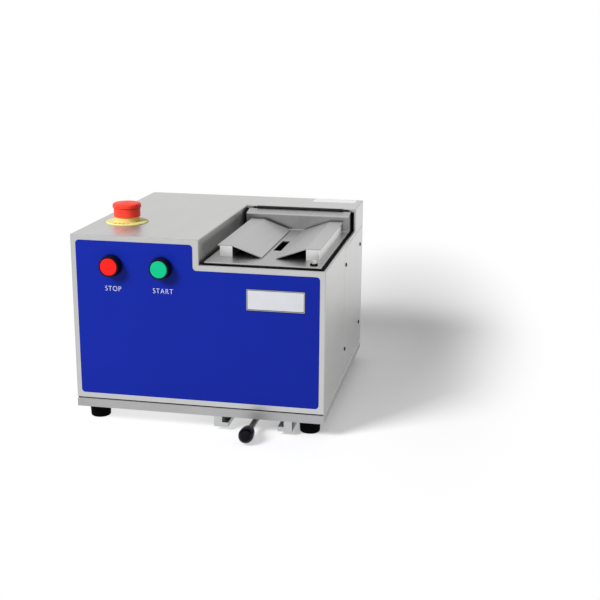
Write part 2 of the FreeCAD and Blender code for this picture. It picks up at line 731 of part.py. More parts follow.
# rear panel: removable back with vent slots and the inlet's cut-out
REAR = "casing_depth"
PANEL_FOOT = f"({CASE_BOTTOM} + rear_panel_foot)"
INLET_Z = f"({PANEL_FOOT} + cover_lap + inlet_height)"
panel = Piece("rear_panel")
panel.pad("XZ_Plane", [rect("-rear_panel_width / 2", PANEL_FOOT, "rear_panel_width / 2",
                            f"{PANEL_FOOT} + rear_panel_height")], REAR, "rear_panel_sheet")
panel.soften("Fillet", "label_corner", lambda e: runs(e, "y"))
vents = []
for n in range(int(SIZES["vent_count"])):
    low = f"({PANEL_FOOT} + rear_panel_height / 2 + {n - SIZES['vent_count'] / 2} * vent_pitch)"
    vents.append(rect("motor_length / 2", low, "motor_length / 2 + vent_length", f"{low} + vent_width"))
panel.pocket("XZ_Plane", vents, REAR, "rear_panel_sheet")
panel.pocket("XZ_Plane", [rect("inlet_x - inlet_width / 2 + inlet_rim",
                               f"{INLET_Z} - inlet_height / 2 + inlet_rim",
                               "inlet_x + inlet_width / 2 - inlet_rim",
                               f"{INLET_Z} + inlet_height / 2 - inlet_rim")], REAR, "rear_panel_sheet")
REAR_SCREWS = [(f"{side} * (rear_panel_width / 2 - cover_lap / 2)",
                f"{PANEL_FOOT} + rear_panel_height / 2 + {up} * (rear_panel_height / 2 - cover_lap / 2)")
               for side in ("-1", "1") for up in ("-1", "0", "1")]
panel.pocket("XZ_Plane", [("circle", x, z, "screw_shank + bearing_gap") for x, z in REAR_SCREWS],
             REAR, "rear_panel_sheet")
casing.pocket("XZ_Plane", [("circle", x, z, "screw_shank + bearing_gap") for x, z in REAR_SCREWS],
              "casing_depth - casing_sheet", "casing_sheet")
casing.pocket("YZ_Plane", [("circle", y, z, "screw_shank + bearing_gap") for y, z in SIDE_SCREWS],
              f"{HALF} - casing_sheet", "casing_sheet")

# cover screws: flush heads in the side cover, low round heads on the rear panel
screws = []
for y, z in SIDE_SCREWS:
    head = bar("x", "screw_head - bearing_gap", "side_cover_sheet", f"{HALF} - side_cover_sheet", y, z)
    shank = bar("x", "screw_shank", "screw_length", f"{HALF} - side_cover_sheet - screw_length", y, z)
    screws.append(head.fuse(shank).removeSplitter())
for x, z in REAR_SCREWS:
    head = bar("y", "screw_head", "screw_head_thick", x, f"{REAR} + rear_panel_sheet", z)
    shank = bar("y", "screw_shank", "screw_length", x, f"{REAR} + rear_panel_sheet - screw_length", z)
    screws.append(head.fuse(shank).removeSplitter())
made("machine_screws", Part.makeCompound(screws))

# power inlet: moulded socket with three flat pins in its recess
inlet = Piece("power_inlet", "inlet_x", REAR, INLET_Z)
inlet.pad("XZ_Plane", [rect("-inlet_width / 2", "-inlet_height / 2", "inlet_width / 2", "inlet_height / 2")],
          "rear_panel_sheet", "inlet_rim")
inlet.soften("Fillet", "inlet_rim", lambda e: runs(e, "y"))
INLET_BODY = ("inlet_width / 2 - inlet_rim - bearing_gap", "inlet_height / 2 - inlet_rim - bearing_gap")
inlet.pad("XZ_Plane", [rect(f"-({INLET_BODY[0]})", f"-({INLET_BODY[1]})", *INLET_BODY)],
          "rear_panel_sheet - inlet_body", "inlet_body")
RECESS_FLOOR = "(rear_panel_sheet + inlet_rim - recess_depth)"
inlet.pocket("XZ_Plane", [[
    ("-recess_width / 2", "-recess_height / 2"),
    ("recess_width / 2", "-recess_height / 2"),
    ("recess_width / 2", "recess_height / 2 - recess_chamfer"),
    ("recess_width / 2 - recess_chamfer", "recess_height / 2"),
    ("recess_chamfer - recess_width / 2", "recess_height / 2"),
    ("-recess_width / 2", "recess_height / 2 - recess_chamfer"),
]], RECESS_FLOOR, "recess_depth")
inlet.pad("XZ_Plane", [rect(f"{x} - pin_width / 2", f"{z} - pin_height / 2",
                            f"{x} + pin_width / 2", f"{z} + pin_height / 2")
                       for x, z in (("-pin_spacing", "-pin_height / 2"), ("0", "pin_height / 2"),
                                    ("pin_spacing", "-pin_height / 2"))],
          RECESS_FLOOR, "pin_length")

# lid seal: rubber strip on the rim of the casing's window and up both sides of its back
GASKET_LEFT = f"({NOTCH_X} + running_gap)"
GASKET_RIGHT = f"({HALF} - gasket_border)"
GASKET_IN_LEFT = f"({WINDOW_LEFT})"
gasket = Piece("lid_seal")
gasket.pad("XY_Plane", [[
    (GASKET_LEFT, "gasket_front"),
    (GASKET_RIGHT, "gasket_front"),
    (GASKET_RIGHT, "notch_depth"),
    (WINDOW_RIGHT, "notch_depth"),
    (WINDOW_RIGHT, "window_front"),
    (WINDOW_LEFT, "window_front"),
    (WINDOW_LEFT, "notch_depth"),
    (GASKET_LEFT, "notch_depth"),
]], RIM, "gasket_thick")
gasket.pad("XZ_Plane", [
    rect(GASKET_LEFT, RIM, WINDOW_LEFT, f"{HINGE_Z} - knuckle_radius - running_gap"),
    rect(WINDOW_RIGHT, RIM, GASKET_RIGHT, f"{HINGE_Z} - knuckle_radius - running_gap"),
], "notch_depth - gasket_thick", "gasket_thick")

# lid: folded plate that is the can table, with a raised back wall and closed ends
WALL_TOP = f"({LID_TOP} + lid_wall_height)"
STRIP_END = f"({HINGE_Y} - knuckle_radius - running_gap)"
STRIP_TOP = f"({WALL_TOP} + lid_strip_rise)"
LID_WIDTH = f"({LID_RIGHT} - {LID_LEFT})"
lid = Piece("lid")
lid.pad("YZ_Plane", [[
    ("lid_front", LID_UNDER),
    ("lid_wall + lid_sheet", LID_UNDER),
    ("lid_wall + lid_sheet", f"{WALL_TOP} - lid_sheet"),
    (STRIP_END, f"{STRIP_TOP} - lid_sheet"),
    (STRIP_END, STRIP_TOP),
    ("lid_wall", WALL_TOP),
    ("lid_wall", LID_TOP),
    ("lid_front", LID_TOP),
]], LID_LEFT, LID_WIDTH)
lid.soften("Fillet", "lid_bend", lambda e: lies(e, y="lid_wall", z=WALL_TOP))
lid.soften("Fillet", "lid_bend / 2",
           lambda e: lies(e, y="lid_wall", z=LID_TOP) or lies(e, y="lid_front", z=LID_TOP))
END_BACK = "(notch_depth - gasket_thick - running_gap)"
LID_END = [
    ("lid_wall + lid_sheet", LID_UNDER),
    (END_BACK, LID_UNDER),
    (END_BACK, f"{STRIP_TOP} - lid_sheet"),
    (STRIP_END, f"{STRIP_TOP} - lid_sheet"),
    ("lid_wall + lid_sheet", f"{WALL_TOP} - lid_sheet"),
]
lid.pad("YZ_Plane", [LID_END], LID_LEFT, "lid_sheet")
lid.pad("YZ_Plane", [LID_END], f"{LID_RIGHT} - lid_sheet", "lid_sheet")
lid.pocket("XY_Plane", [("circle", "thumb_x", "thumb_y", "thumb_stem + bearing_gap")], LID_UNDER, "lid_sheet")

# lid catch: tab under the front rim that the thumb screw reaches into
catch = Piece("lid_catch")
CATCH_HALF = "(thumb_washer + catch_thick)"
catch.pad("XY_Plane", [rect(f"thumb_x - {CATCH_HALF}", "casing_sheet", f"{WINDOW_RIGHT} - running_gap",
                            f"thumb_y + {CATCH_HALF}")], f"{RIM} - casing_sheet - catch_thick", "catch_thick")
catch.pocket("XY_Plane", [("circle", "thumb_x", "thumb_y", "thumb_stem + catch_clearance")],
             f"{RIM} - casing_sheet - catch_thick", "catch_thick")

# blade slot: as long as the blades' chord at the lid, with the arm anywhere in its travel
REACH_Y = "(arbor_y - pivot_y)"
REACH_Z = f"({ARBOR_Z} - {PIVOT_Z})"
RAISED_Y = f"(pivot_y + {REACH_Y} * cos(saw_lift) + {REACH_Z} * sin(saw_lift))"
RAISED_Z = f"({PIVOT_Z} - {REACH_Y} * sin(saw_lift) + {REACH_Z} * cos(saw_lift))"
CHORD = f"sqrt(blade_radius ^ 2 - ({LID_UNDER} - {RAISED_Z}) ^ 2)"
SLOT_FRONT = f"({RAISED_Y} - {CHORD} - slot_end_gap)"
SLOT_BACK = f"({RAISED_Y} + {CHORD} + slot_end_gap)"
lid.pocket("XY_Plane", [rect("saw_x - slot_width / 2", SLOT_FRONT, "saw_x + slot_width / 2", SLOT_BACK)],
           LID_UNDER, "lid_sheet")

# cradle: two bars on the lid carry bent plates that slope down to the blade slot
BAR_TOP = f"({LID_TOP} + bar_height)"
CRADLE_BACK = "(cradle_front + cradle_length)"
bars = []
for side, name in (("-1", "left"), ("1", "right")):
    inner = "(bar_spacing / 2 - bar_width / 2)"
    outer = "(bar_spacing / 2 + bar_width / 2)"
    rail = Piece(f"cradle_bar_{name}", "saw_x")
    rail.pad("XY_Plane", [rect(f"{side} * {inner}", "cradle_front", f"{side} * {outer}", CRADLE_BACK)],
             LID_TOP, "bar_height")
    plate_top = f"({BAR_TOP} + flap_sheet)"
    bend = f"({inner} - flap_sheet * tan(flap_angle / 2))"
    drop = "(bar_height + flap_sheet - flap_sheet * cos(flap_angle) - flap_clear)"
    tip = f"({bend} - {drop} / tan(flap_angle))"
    plate = Piece(f"cradle_plate_{name}", "saw_x")
    plate.pad("XZ_Plane", [[
        (f"{side} * ({outer} + flap_overhang)", plate_top),
        (f"{side} * {bend}", plate_top),
        (f"{side} * {tip}", f"{plate_top} - {drop}"),
        (f"{side} * ({tip} + flap_sheet * sin(flap_angle))",
         f"{plate_top} - {drop} - flap_sheet * cos(flap_angle)"),
        (f"{side} * {inner}", BAR_TOP),
        (f"{side} * ({outer} + flap_overhang)", BAR_TOP),
    ]], "cradle_front - flap_sheet / 2", "cradle_length")

# lid hinge: steel knuckles turned round one pin, a leaf under the top sheet and one under the lid
KNUCKLES = int(SIZES["hinge_knuckles"])
HINGE_SPAN = f"({LID_WIDTH} - 2 * hinge_inset)"
fixed_parts = []
moving_parts = []
for n in range(KNUCKLES):
    start = f"({LID_LEFT} + hinge_inset + {HINGE_SPAN} * {n} / {KNUCKLES})"
    wide = f"({HINGE_SPAN} / {KNUCKLES} - running_gap)"
    knuckle = bar("x", "knuckle_radius", wide, start, HINGE_Y, HINGE_Z)
    if n % 2 == 0:
        tab = block(start, HINGE_Y, f"{CASE_TOP} - casing_sheet - hinge_leaf",
                    f"{start} + {wide}", f"{HINGE_Y} + hinge_leaf_width / 2", f"{CASE_TOP} - casing_sheet")
        fixed_parts.append(knuckle.fuse(tab))
    else:
        corners = [spot(start, y, z) for y, z in (
            (STRIP_END, f"{STRIP_TOP} - lid_sheet - hinge_leaf"),
            (f"{HINGE_Y} - knuckle_radius / 2", f"{HINGE_Z} - knuckle_radius"),
            (HINGE_Y, HINGE_Z),
            (STRIP_END, f"{STRIP_TOP} - lid_sheet"))]
        face = Part.Face(Part.makePolygon(corners + corners[:1]))
        moving_parts.append(knuckle.fuse(face.extrude(FreeCAD.Vector(value(wide), 0, 0))))
top_leaf = block(f"{LID_LEFT} + hinge_inset", f"{HINGE_Y} + knuckle_radius + running_gap",
                 f"{CASE_TOP} - casing_sheet - hinge_leaf", f"{LID_RIGHT} - hinge_inset",
                 f"{HINGE_Y} + hinge_leaf_width", f"{CASE_TOP} - casing_sheet")
slope = f"(lid_strip_rise / ({STRIP_END} - lid_wall - lid_sheet))"
leaf_front = f"({STRIP_END} - hinge_leaf_width + knuckle_radius)"
lid_leaf_corners = [spot(f"{LID_LEFT} + hinge_inset", y, z) for y, z in (
    (STRIP_END, f"{STRIP_TOP} - lid_sheet"),
    (STRIP_END, f"{STRIP_TOP} - lid_sheet - hinge_leaf"),
    (leaf_front, f"{STRIP_TOP} - lid_sheet - hinge_leaf - {slope} * ({STRIP_END} - {leaf_front})"),
    (leaf_front, f"{STRIP_TOP} - lid_sheet - {slope} * ({STRIP_END} - {leaf_front})"))]
lid_leaf = Part.Face(Part.makePolygon(lid_leaf_corners + lid_leaf_corners[:1]))
lid_leaf = lid_leaf.extrude(FreeCAD.Vector(value(HINGE_SPAN), 0, 0))
pin_start = f"{LID_LEFT} + hinge_inset"
pin_hole = bar("x", "hinge_pin_radius + bearing_gap", HINGE_SPAN, pin_start, HINGE_Y, HINGE_Z)
fixed_leaf = top_leaf.multiFuse(fixed_parts).cut(pin_hole).removeSplitter()
hinge_pin = bar("x", "hinge_pin_radius", HINGE_SPAN, pin_start, HINGE_Y, HINGE_Z)
made("hinge_fixed_leaf", Part.makeCompound([fixed_leaf, hinge_pin]))
made("hinge_lid_leaf", lid_leaf.multiFuse(moving_parts).cut(pin_hole).removeSplitter())

# thumb screw: small knurled head over a rubber washer near the lid's front corner
washer = Piece("thumb_washer", "thumb_x", "thumb_y", LID_TOP)
washer.turn("Revolution", "XZ_Plane", [
    ("thumb_stem + bearing_gap", "0"), ("thumb_washer", "0"), ("thumb_washer", "washer_thick * 0.7"),
    ("thumb_washer - washer_thick * 0.3", "washer_thick"), ("thumb_stem + bearing_gap", "washer_thick"),
], "V_Axis")
THUMB_LOW = "(-lid_sheet - lid_rise - catch_thick)"
thumb = Piece("thumb_screw", "thumb_x", "thumb_y", LID_TOP)
thumb.turn("Revolution", "XZ_Plane", [
    ("0", THUMB_LOW), ("thumb_stem", THUMB_LOW), ("thumb_stem", "washer_thick + running_gap / 3"),
    ("thumb_radius", "washer_thick + running_gap / 3"),
    ("thumb_radius", "washer_thick + thumb_height - thumb_stem / 4"),
    ("thumb_radius - thumb_stem / 4", "washer_thick + thumb_height"), ("0", "washer_thick + thumb_height"),
], "V_Axis")
notch = thumb.pocket("XY_Plane", [("circle", "thumb_radius + knurl_radius / 2", "0", "knurl_radius")],
                     "washer_thick + thumb_stem / 2", "thumb_height")
thumb.repeat(notch, "Z_Axis", "knurl_count")

# tray rails: two bars of L section under the base plate, flanges turned inward
for side, name in (("-1", "left"), ("1", "right")):
    leg = "(rail_gap / 2)"
    rail = Piece(f"tray_rail_{name}", "tray_x")
    rail.pad("XZ_Plane", [[
        (f"{side} * {leg}", "foot_height"),
        (f"{side} * ({leg} + rail_leg)", "foot_height"),
        (f"{side} * ({leg} + rail_leg)", "foot_height - rail_height"),
        (f"{side} * ({leg} - rail_flange)", "foot_height - rail_height"),
        (f"{side} * ({leg} - rail_flange)", "foot_height - rail_height + rail_flange_thick"),
        (f"{side} * {leg}", "foot_height - rail_height + rail_flange_thick"),
    ]], "rail_front", "rail_length")

# chip tray: shallow folded pan whose lips run on the rails' flanges
TRAY_HALF = "(rail_gap / 2 - rail_flange - tray_gap)"
LIP_Z = "(foot_height - rail_height + rail_flange_thick + running_gap)"
TRAY_LOW = "(foot_height - rail_height + running_gap)"
TRAY_TOP = "(foot_height - tray_drop)"
TRAY_BACK = "(tray_front + tray_length)"
tray = Piece("chip_tray", "tray_x")
tray.pad("XY_Plane", [rect(f"-{TRAY_HALF}", "tray_front", TRAY_HALF, TRAY_BACK)],
         TRAY_LOW, f"{TRAY_TOP} - {TRAY_LOW}")
LIP_HALF = "(rail_gap / 2 - tray_gap)"
tray.pad("XY_Plane", [rect(f"-{LIP_HALF}", "tray_front", LIP_HALF, TRAY_BACK)], LIP_Z, "tray_sheet")
tray.pocket("XY_Plane", [rect(f"tray_sheet - {TRAY_HALF}", "tray_front + tray_sheet",
                              f"{TRAY_HALF} - tray_sheet", f"{TRAY_BACK} - tray_sheet")],
            f"{TRAY_LOW} + tray_sheet", "foot_height")

# tray pull: steel rod fixed in the tray's front, with an egg-shaped knob
rod = Piece("tray_rod", "tray_x", "tray_front", "rod_height")
KNOB_BACK = "(knob_length - knob_reach - tray_front)"
rod.turn("Revolution", "YZ_Plane", [
    ("0", "0"), ("0", "rod_radius"), (KNOB_BACK, "rod_radius"), (KNOB_BACK, "rod_radius / 2"),
    (f"{KNOB_BACK} - knob_length / 3", "rod_radius / 2"), (f"{KNOB_BACK} - knob_length / 3", "0"),
], "H_Axis")


def knob_shape():
    """Egg profile: two elliptic arcs meet at the widest section, and the rear one ends at the neck."""
    girth = value("knob_radius")
    neck = value("knob_neck")
    rise = math.asin(neck / girth)
    tail = value("knob_length - knob_nose") / math.cos(rise)
    hole = value("rod_radius / 2 + bearing_gap")
    depth = value("knob_length / 3 + running_gap")
    back = spot("tray_x", "knob_length - knob_reach", "rod_height")
    centre = spot("tray_x", "knob_nose - knob_reach", "rod_height")
    crown = centre + FreeCAD.Vector(0, 0, girth)
    tip = centre - FreeCAD.Vector(0, value("knob_nose"), 0)
    tail_end = centre + FreeCAD.Vector(0, tail, 0)
    hole_end = back + FreeCAD.Vector(0, -depth, 0)
    nose_arc = Part.ArcOfEllipse(Part.Ellipse(tip, crown, centre), 0, math.pi / 2)
    rear_arc = Part.ArcOfEllipse(Part.Ellipse(tail_end, crown, centre), rise, math.pi / 2)
    neck_edge = back + FreeCAD.Vector(0, 0, neck)
    hole_mouth = back + FreeCAD.Vector(0, 0, hole)
    hole_foot = hole_end + FreeCAD.Vector(0, 0, hole)
    edges = [
        Part.makeLine(hole_mouth, neck_edge),
        rear_arc.toShape(),
        nose_arc.toShape(),
        Part.makeLine(tip, hole_end),
        Part.makeLine(hole_end, hole_foot),
        Part.makeLine(hole_foot, hole_mouth),
    ]
    return Part.Face(Part.Wire(edges)).revolve(back, AXES["y"], 360)


made("tray_knob", knob_shape())

# chip chute: folded funnel from under the blades down into the tray
CHUTE_TOP = f"({ARBOR_Z} - blade_radius - chute_drop)"
CHUTE_LEVELS = (
    ("chute_foot_width / 2", "chute_foot_front", "chute_foot_back", "foot_height"),
    ("chute_foot_width / 2", "chute_foot_front", "chute_foot_back", BASE_TOP),
    ("chute_mouth_width / 2", "chute_mouth_front", "chute_mouth_back", CHUTE_TOP),
)


def funnel(inset):
    """Duct with its walls moved in by an inset: upright in the base plate, tapered above it."""
    rings = []
    for half, front, back, level in CHUTE_LEVELS:
        corners = rect(f"saw_x - {half} + {inset}", f"{front} + {inset}",
                       f"saw_x + {half} - {inset}", f"{back} - {inset}")
        rings.append([spot(x, y, level) for x, y in corners])
    faces = [Part.Face(Part.makePolygon(ring + ring[:1])) for ring in (rings[0], rings[-1])]
    for low, high in zip(rings, rings[1:]):
        for a in range(4):
            b = (a + 1) % 4
            faces.append(Part.Face(Part.makePolygon([low[a], low[b], high[b], high[a], low[a]])))
    return Part.makeSolid(Part.makeShell(faces))


chute = funnel("running_gap").cut(funnel("chute_sheet + running_gap"))
made("chip_chute", chute)

# saw arm: one plate from the spindle over the pivot to the motor, with a hub welded through it
ARBOR = (value("arbor_y"), value(ARBOR_Z))
PIVOT = (value("pivot_y"), value(PIVOT_Z))
MOTOR = (value("motor_y"), value(MOTOR_Z))
ARM_X = value("arm_x")
ARM_THICK = value("arm_thick")
arm = band(ARBOR, value("arm_nose"), PIVOT, value("arm_heel"), ARM_X, ARM_THICK)
arm = arm.fuse(band(PIVOT, value("arm_heel"), MOTOR, value("motor_radius + casing_sheet"), ARM_X, ARM_THICK))
arm = arm.fuse(band(ARBOR, value("arm_nose"), MOTOR, value("arm_heel"), ARM_X, ARM_THICK))
middle = tuple((a + b + c) / 3 for a, b, c in zip(ARBOR, PIVOT, MOTOR))
upper = tuple(a * 0.42 + c * 0.33 + b * 0.25 for a, b, c in zip(ARBOR, PIVOT, MOTOR))
arm = arm.cut(band(upper, value("hub_radius * 0.8"), middle, value("hub_radius * 0.62"), ARM_X, ARM_THICK))
hub = bar("x", "hub_radius", "hub_length", HUB_X, "pivot_y", PIVOT_Z)
arm = arm.fuse(hub).removeSplitter()
arm = arm.cut(bar("x", "pivot_radius + bush_wall", "hub_length", HUB_X, "pivot_y", PIVOT_Z))
arm = arm.cut(bar("x", "bearing_radius - running_gap", "arm_thick", "arm_x", "arbor_y", ARBOR_Z))
arm = arm.cut(bar("x", "motor_shaft * 2", "arm_thick", "arm_x", "motor_y", MOTOR_Z))
made("saw_arm", arm)

# pivot bush: bronze sleeve pressed in the arm's hub
bush = Piece("pivot_bush", HUB_X, "pivot_y", PIVOT_Z)
bush.pad("YZ_Plane", [("circle", "0", "0", "pivot_radius + bush_wall - bearing_gap"),
                      ("circle", "0", "0", "pivot_radius + bearing_gap")], "0", "hub_length")

# pivot brackets: two cast uprights with feet screwed to the base plate
BRACKETS = (("left", f"({HUB_X} - thrust_gap - bracket_thick)", f"{HUB_X} - thrust_gap - bracket_foot / 2"),
            ("right", f"({HUB_X} + hub_length + thrust_gap)", f"{HUB_X} + hub_length + thrust_gap"))
BRACKET_LOW = (PIVOT[0], value(f"{BASE_TOP} + bracket_radius + bracket_flare"))
for name, x, foot_x in BRACKETS:
    upright = band(PIVOT, value("bracket_radius"), BRACKET_LOW, value("bracket_radius + bracket_flare"),
                   value(x), value("bracket_thick"))
    upright = upright.fuse(block(x, "pivot_y - bracket_foot / 2", BASE_TOP, f"{x} + bracket_thick",
                                 "pivot_y + bracket_foot / 2", f"{BASE_TOP} + bracket_radius"))
    foot = block(foot_x, "pivot_y - bracket_foot / 2", BASE_TOP, f"{foot_x} + bracket_foot / 2",
                 "pivot_y + bracket_foot / 2", f"{BASE_TOP} + bracket_foot_thick")
    bracket = upright.fuse(foot).removeSplitter()
    bracket = bracket.cut(bar("x", "pivot_radius + bearing_gap", "bracket_thick", x, "pivot_y", PIVOT_Z))
    made(f"pivot_bracket_{name}", bracket)

# pivot shaft: ground pin held in both brackets by a head and a clip
SHAFT_X = f"({HUB_X} - thrust_gap - bracket_thick)"
SHAFT_LENGTH = "(hub_length + 2 * thrust_gap + 2 * bracket_thick)"
shaft = Piece("pivot_shaft", SHAFT_X, "pivot_y", PIVOT_Z)
shaft.turn("Revolution", "XZ_Plane", [
    ("-bush_wall", "0"), ("-bush_wall", "pivot_radius + bush_wall"), ("0", "pivot_radius + bush_wall"),
    ("0", "pivot_radius"), (SHAFT_LENGTH, "pivot_radius"),
    (SHAFT_LENGTH, "pivot_radius + bush_wall"),
    (f"{SHAFT_LENGTH} + bush_wall / 2", "pivot_radius + bush_wall"),
    (f"{SHAFT_LENGTH} + bush_wall / 2", "0"),
], "H_Axis")

# spindle housing: flanged tube on the arm with a ball bearing at each end
housing = Piece("spindle_housing", ARM_RIGHT, "arbor_y", ARBOR_Z)
housing.turn("Revolution", "XZ_Plane", [
    ("0", "bearing_radius"), ("0", "arm_nose"), ("housing_flange", "arm_nose"),
    ("housing_flange", "housing_radius"), ("housing_length", "housing_radius"),
    ("housing_length", "bearing_radius"),
], "H_Axis")
housing.soften("Chamfer", "bend_radius", lambda e: lies(e, x="housing_length") and
               e.BoundBox.YMax > value("bearing_radius + running_gap"))
bearings = []
for x in (f"{ARM_RIGHT} + running_gap",
          f"{ARM_RIGHT} + housing_length - running_gap - bearing_width"):
    ring = bar("x", "bearing_radius - bearing_gap", "bearing_width", x, "arbor_y", ARBOR_Z)
    bearings.append(ring.cut(bar("x", "arbor_radius + bearing_gap", "bearing_width", x, "arbor_y", ARBOR_Z)))
made("spindle_bearings", Part.makeCompound(bearings))

# arbor: stepped spindle from the belt pulley to the threaded nose
BLADE_X = "(saw_x - blade_spacing / 2 - blade_thick / 2)"
FLANGE_X = f"({BLADE_X} - flange_thick)"
OUTER_X = "(saw_x + blade_spacing / 2 + blade_thick / 2)"
ARBOR_END = f"({OUTER_X} + flange_thick + arbor_nut_thick + arbor_end)"
arbor = Piece("arbor", "0", "arbor_y", ARBOR_Z)
arbor.turn("Revolution", "XZ_Plane", [
    (PULLEY_X, "0"), (PULLEY_X, "arbor_radius"), ("collar_x", "arbor_radius"),
    ("collar_x", "arbor_radius + bush_wall"), (FLANGE_X, "arbor_radius + bush_wall"),
    (FLANGE_X, "arbor_radius"), (ARBOR_END, "arbor_radius"), (ARBOR_END, "0"),
], "H_Axis")

# saw blades: two slitting saws, kept apart by a spacer, with hooked teeth
def blade_shape(x):
    """Disc whose rim is a ring of raked teeth."""
    teeth = int(value("blade_teeth"))
    outer = value("blade_radius")
    relief = value("blade_radius - tooth_relief")
    root = value("blade_radius - tooth_depth")
    pitch = 2 * math.pi / teeth
    points = []
    for n in range(teeth):
        for radius, turn in ((outer, 0.0), (relief, 0.22), (root, 0.92)):
            angle = (n + turn) * pitch
            points.append(FreeCAD.Vector(x, value("arbor_y") + radius * math.cos(angle),
                                         value(ARBOR_Z) + radius * math.sin(angle)))
    face = Part.Face(Part.makePolygon(points + points[:1]))
    disc = face.extrude(FreeCAD.Vector(value("blade_thick"), 0, 0))
    return disc.cut(bar("x", "arbor_radius + bearing_gap", "2 * blade_thick", f"{x} - blade_thick / 2",
                        "arbor_y", ARBOR_Z))


made("saw_blades", Part.makeCompound([
    blade_shape(value(BLADE_X)),
    blade_shape(value(OUTER_X) - value("blade_thick")),
]))

# blade flanges: two clamping discs and the spacer between the blades
clamps = []
for x, thick in ((FLANGE_X, "flange_thick"), (f"({BLADE_X} + blade_thick)", "(blade_spacing - blade_thick)"),
                 (OUTER_X, "flange_thick")):
    disc = bar("x", "flange_radius", thick, x, "arbor_y", ARBOR_Z)
    clamps.append(disc.cut(bar("x", "arbor_radius + bearing_gap", thick, x, "arbor_y", ARBOR_Z)))
made("blade_flanges", Part.makeCompound(clamps))

# arbor nut: plain hexagon nut on the spindle's nose
def hexagon(x, y, z, width, length):
    """Hexagonal prism along X, measured across its flats."""
    corner = value(width) / 2 / math.cos(math.radians(30))
    centre = spot(x, y, z)
    angles = [math.radians(60 * n) for n in range(6)]
    points = [centre + FreeCAD.Vector(0, corner * math.cos(a), corner * math.sin(a)) for a in angles]
    face = Part.Face(Part.makePolygon(points + points[:1]))
    return face.extrude(FreeCAD.Vector(value(length), 0, 0))


NUT_X = f"({OUTER_X} + flange_thick)"
nut = hexagon(NUT_X, "arbor_y", ARBOR_Z, "nut_width", "arbor_nut_thick")
nut = nut.cut(bar("x", "arbor_radius + bearing_gap", "arbor_nut_thick", NUT_X, "arbor_y", ARBOR_Z))
made("arbor_nut", nut)

# pulleys: one groove each, with a lip on both sides of the belt
def pulley(piece, pitch, bore):
    """Grooved wheel turned about X from x = 0."""
    lip = "((pulley_width - belt_width) / 2 - running_gap)"
    inner = f"({pitch} - belt_thick / 2)"
    rim = f"({pitch} + belt_thick / 2 + pulley_lip)"
    piece.turn("Revolution", "XZ_Plane", [
        ("0", bore), ("0", rim), (lip, rim), (lip, inner), (f"pulley_width - {lip}", inner),
        (f"pulley_width - {lip}", rim), ("pulley_width", rim), ("pulley_width", bore),
    ], "H_Axis")


arbor_wheel = Piece("arbor_pulley", PULLEY_X, "arbor_y", ARBOR_Z)
pulley(arbor_wheel, "arbor_pulley", "arbor_radius + bearing_gap")
motor_wheel = Piece("motor_pulley", PULLEY_X, "motor_y", MOTOR_Z)
pulley(motor_wheel, "motor_pulley", "motor_shaft + bearing_gap")
rotor = Piece("motor_shaft", PULLEY_X, "motor_y", MOTOR_Z)
rotor.turn("Revolution", "XZ_Plane", [
    ("-pulley_lip", "0"), ("-pulley_lip", "motor_shaft - pulley_lip / 2"), ("0", "motor_shaft"),
    (f"arm_x + arm_thick + bearing_width - {PULLEY_X}", "motor_shaft"),
    (f"arm_x + arm_thick + bearing_width - {PULLEY_X}", "0"),
], "H_Axis")

# drive belt: closed loop over both pulleys
BELT_X = value(f"{PULLEY_X} + (pulley_width - belt_width) / 2")
OUT = value("belt_thick / 2")
IN = value("belt_thick / 2 - running_gap")
BELT_WIDTH = value("belt_width")
belt = band(ARBOR, value("arbor_pulley") + OUT, MOTOR, value("motor_pulley") + OUT, BELT_X, BELT_WIDTH)
loop = band(ARBOR, value("arbor_pulley") - IN, MOTOR, value("motor_pulley") - IN, BELT_X, BELT_WIDTH)
made("drive_belt", belt.cut(loop))

# saw motor: round motor flanged to the arm's right side, with lengthwise cooling fins and two end bells
saw_motor = Piece("saw_motor", ARM_RIGHT, "motor_y", MOTOR_Z)
saw_motor.turn("Revolution", "XZ_Plane", [
    ("0", "motor_shaft + running_gap"), ("0", "motor_radius"), ("motor_bell / 2", "motor_radius"),
    ("motor_bell / 2", "motor_radius - motor_fin"), ("motor_length - motor_bell", "motor_radius - motor_fin"),
    ("motor_length - motor_bell", "motor_radius"), ("motor_length - motor_bell / 3", "motor_radius"),
    ("motor_length", "motor_radius - motor_bell / 3"), ("motor_length", "0"),
    ("bearing_width + running_gap", "0"), ("bearing_width + running_gap", "motor_shaft + running_gap"),
], "H_Axis")
fin = saw_motor.pad("XZ_Plane", [rect("motor_bell / 2", "motor_radius - 2 * motor_fin",
                                      "motor_length - motor_bell", "motor_radius")],
                    "-motor_fin_thick / 2", "motor_fin_thick")
saw_motor.repeat(fin, "X_Axis", "motor_fin_count")

# gear teeth: involute flanks for the feed pinion and the arm's sector
PRESSURE = math.radians(20)


def tooth(teeth, centre, heading, thin):
    """Points of one tooth's outline, root to root, about a heading angle in the YZ plane."""
    module = value("gear_module")
    pitch_radius = module * teeth / 2
    base_radius = pitch_radius * math.cos(PRESSURE)
    outer = pitch_radius + module
    root = pitch_radius - 1.25 * module
    half = math.pi / (2 * teeth) - thin / (2 * pitch_radius)
    half_base = half + math.tan(PRESSURE) - PRESSURE
    steps = 4
    low = max(root, base_radius)
    flank = []
    for n in range(steps + 1):
        radius = low + (outer - low) * n / steps
        roll = math.sqrt(max((radius / base_radius) ** 2 - 1, 0))
        flank.append((radius, half_base - (roll - math.atan(roll))))
    if root < base_radius:
        flank.insert(0, (root, flank[0][1]))
    points = [(radius, heading - turn) for radius, turn in flank]
    points += [(radius, heading + turn) for radius, turn in reversed(flank)]
    return [(centre[0] + r * math.cos(a), centre[1] + r * math.sin(a)) for r, a in points]


def plate_from(points, x, width):
    corners = [FreeCAD.Vector(x, y, z) for y, z in points]
    return Part.Face(Part.makePolygon(corners + corners[:1])).extrude(FreeCAD.Vector(width, 0, 0))


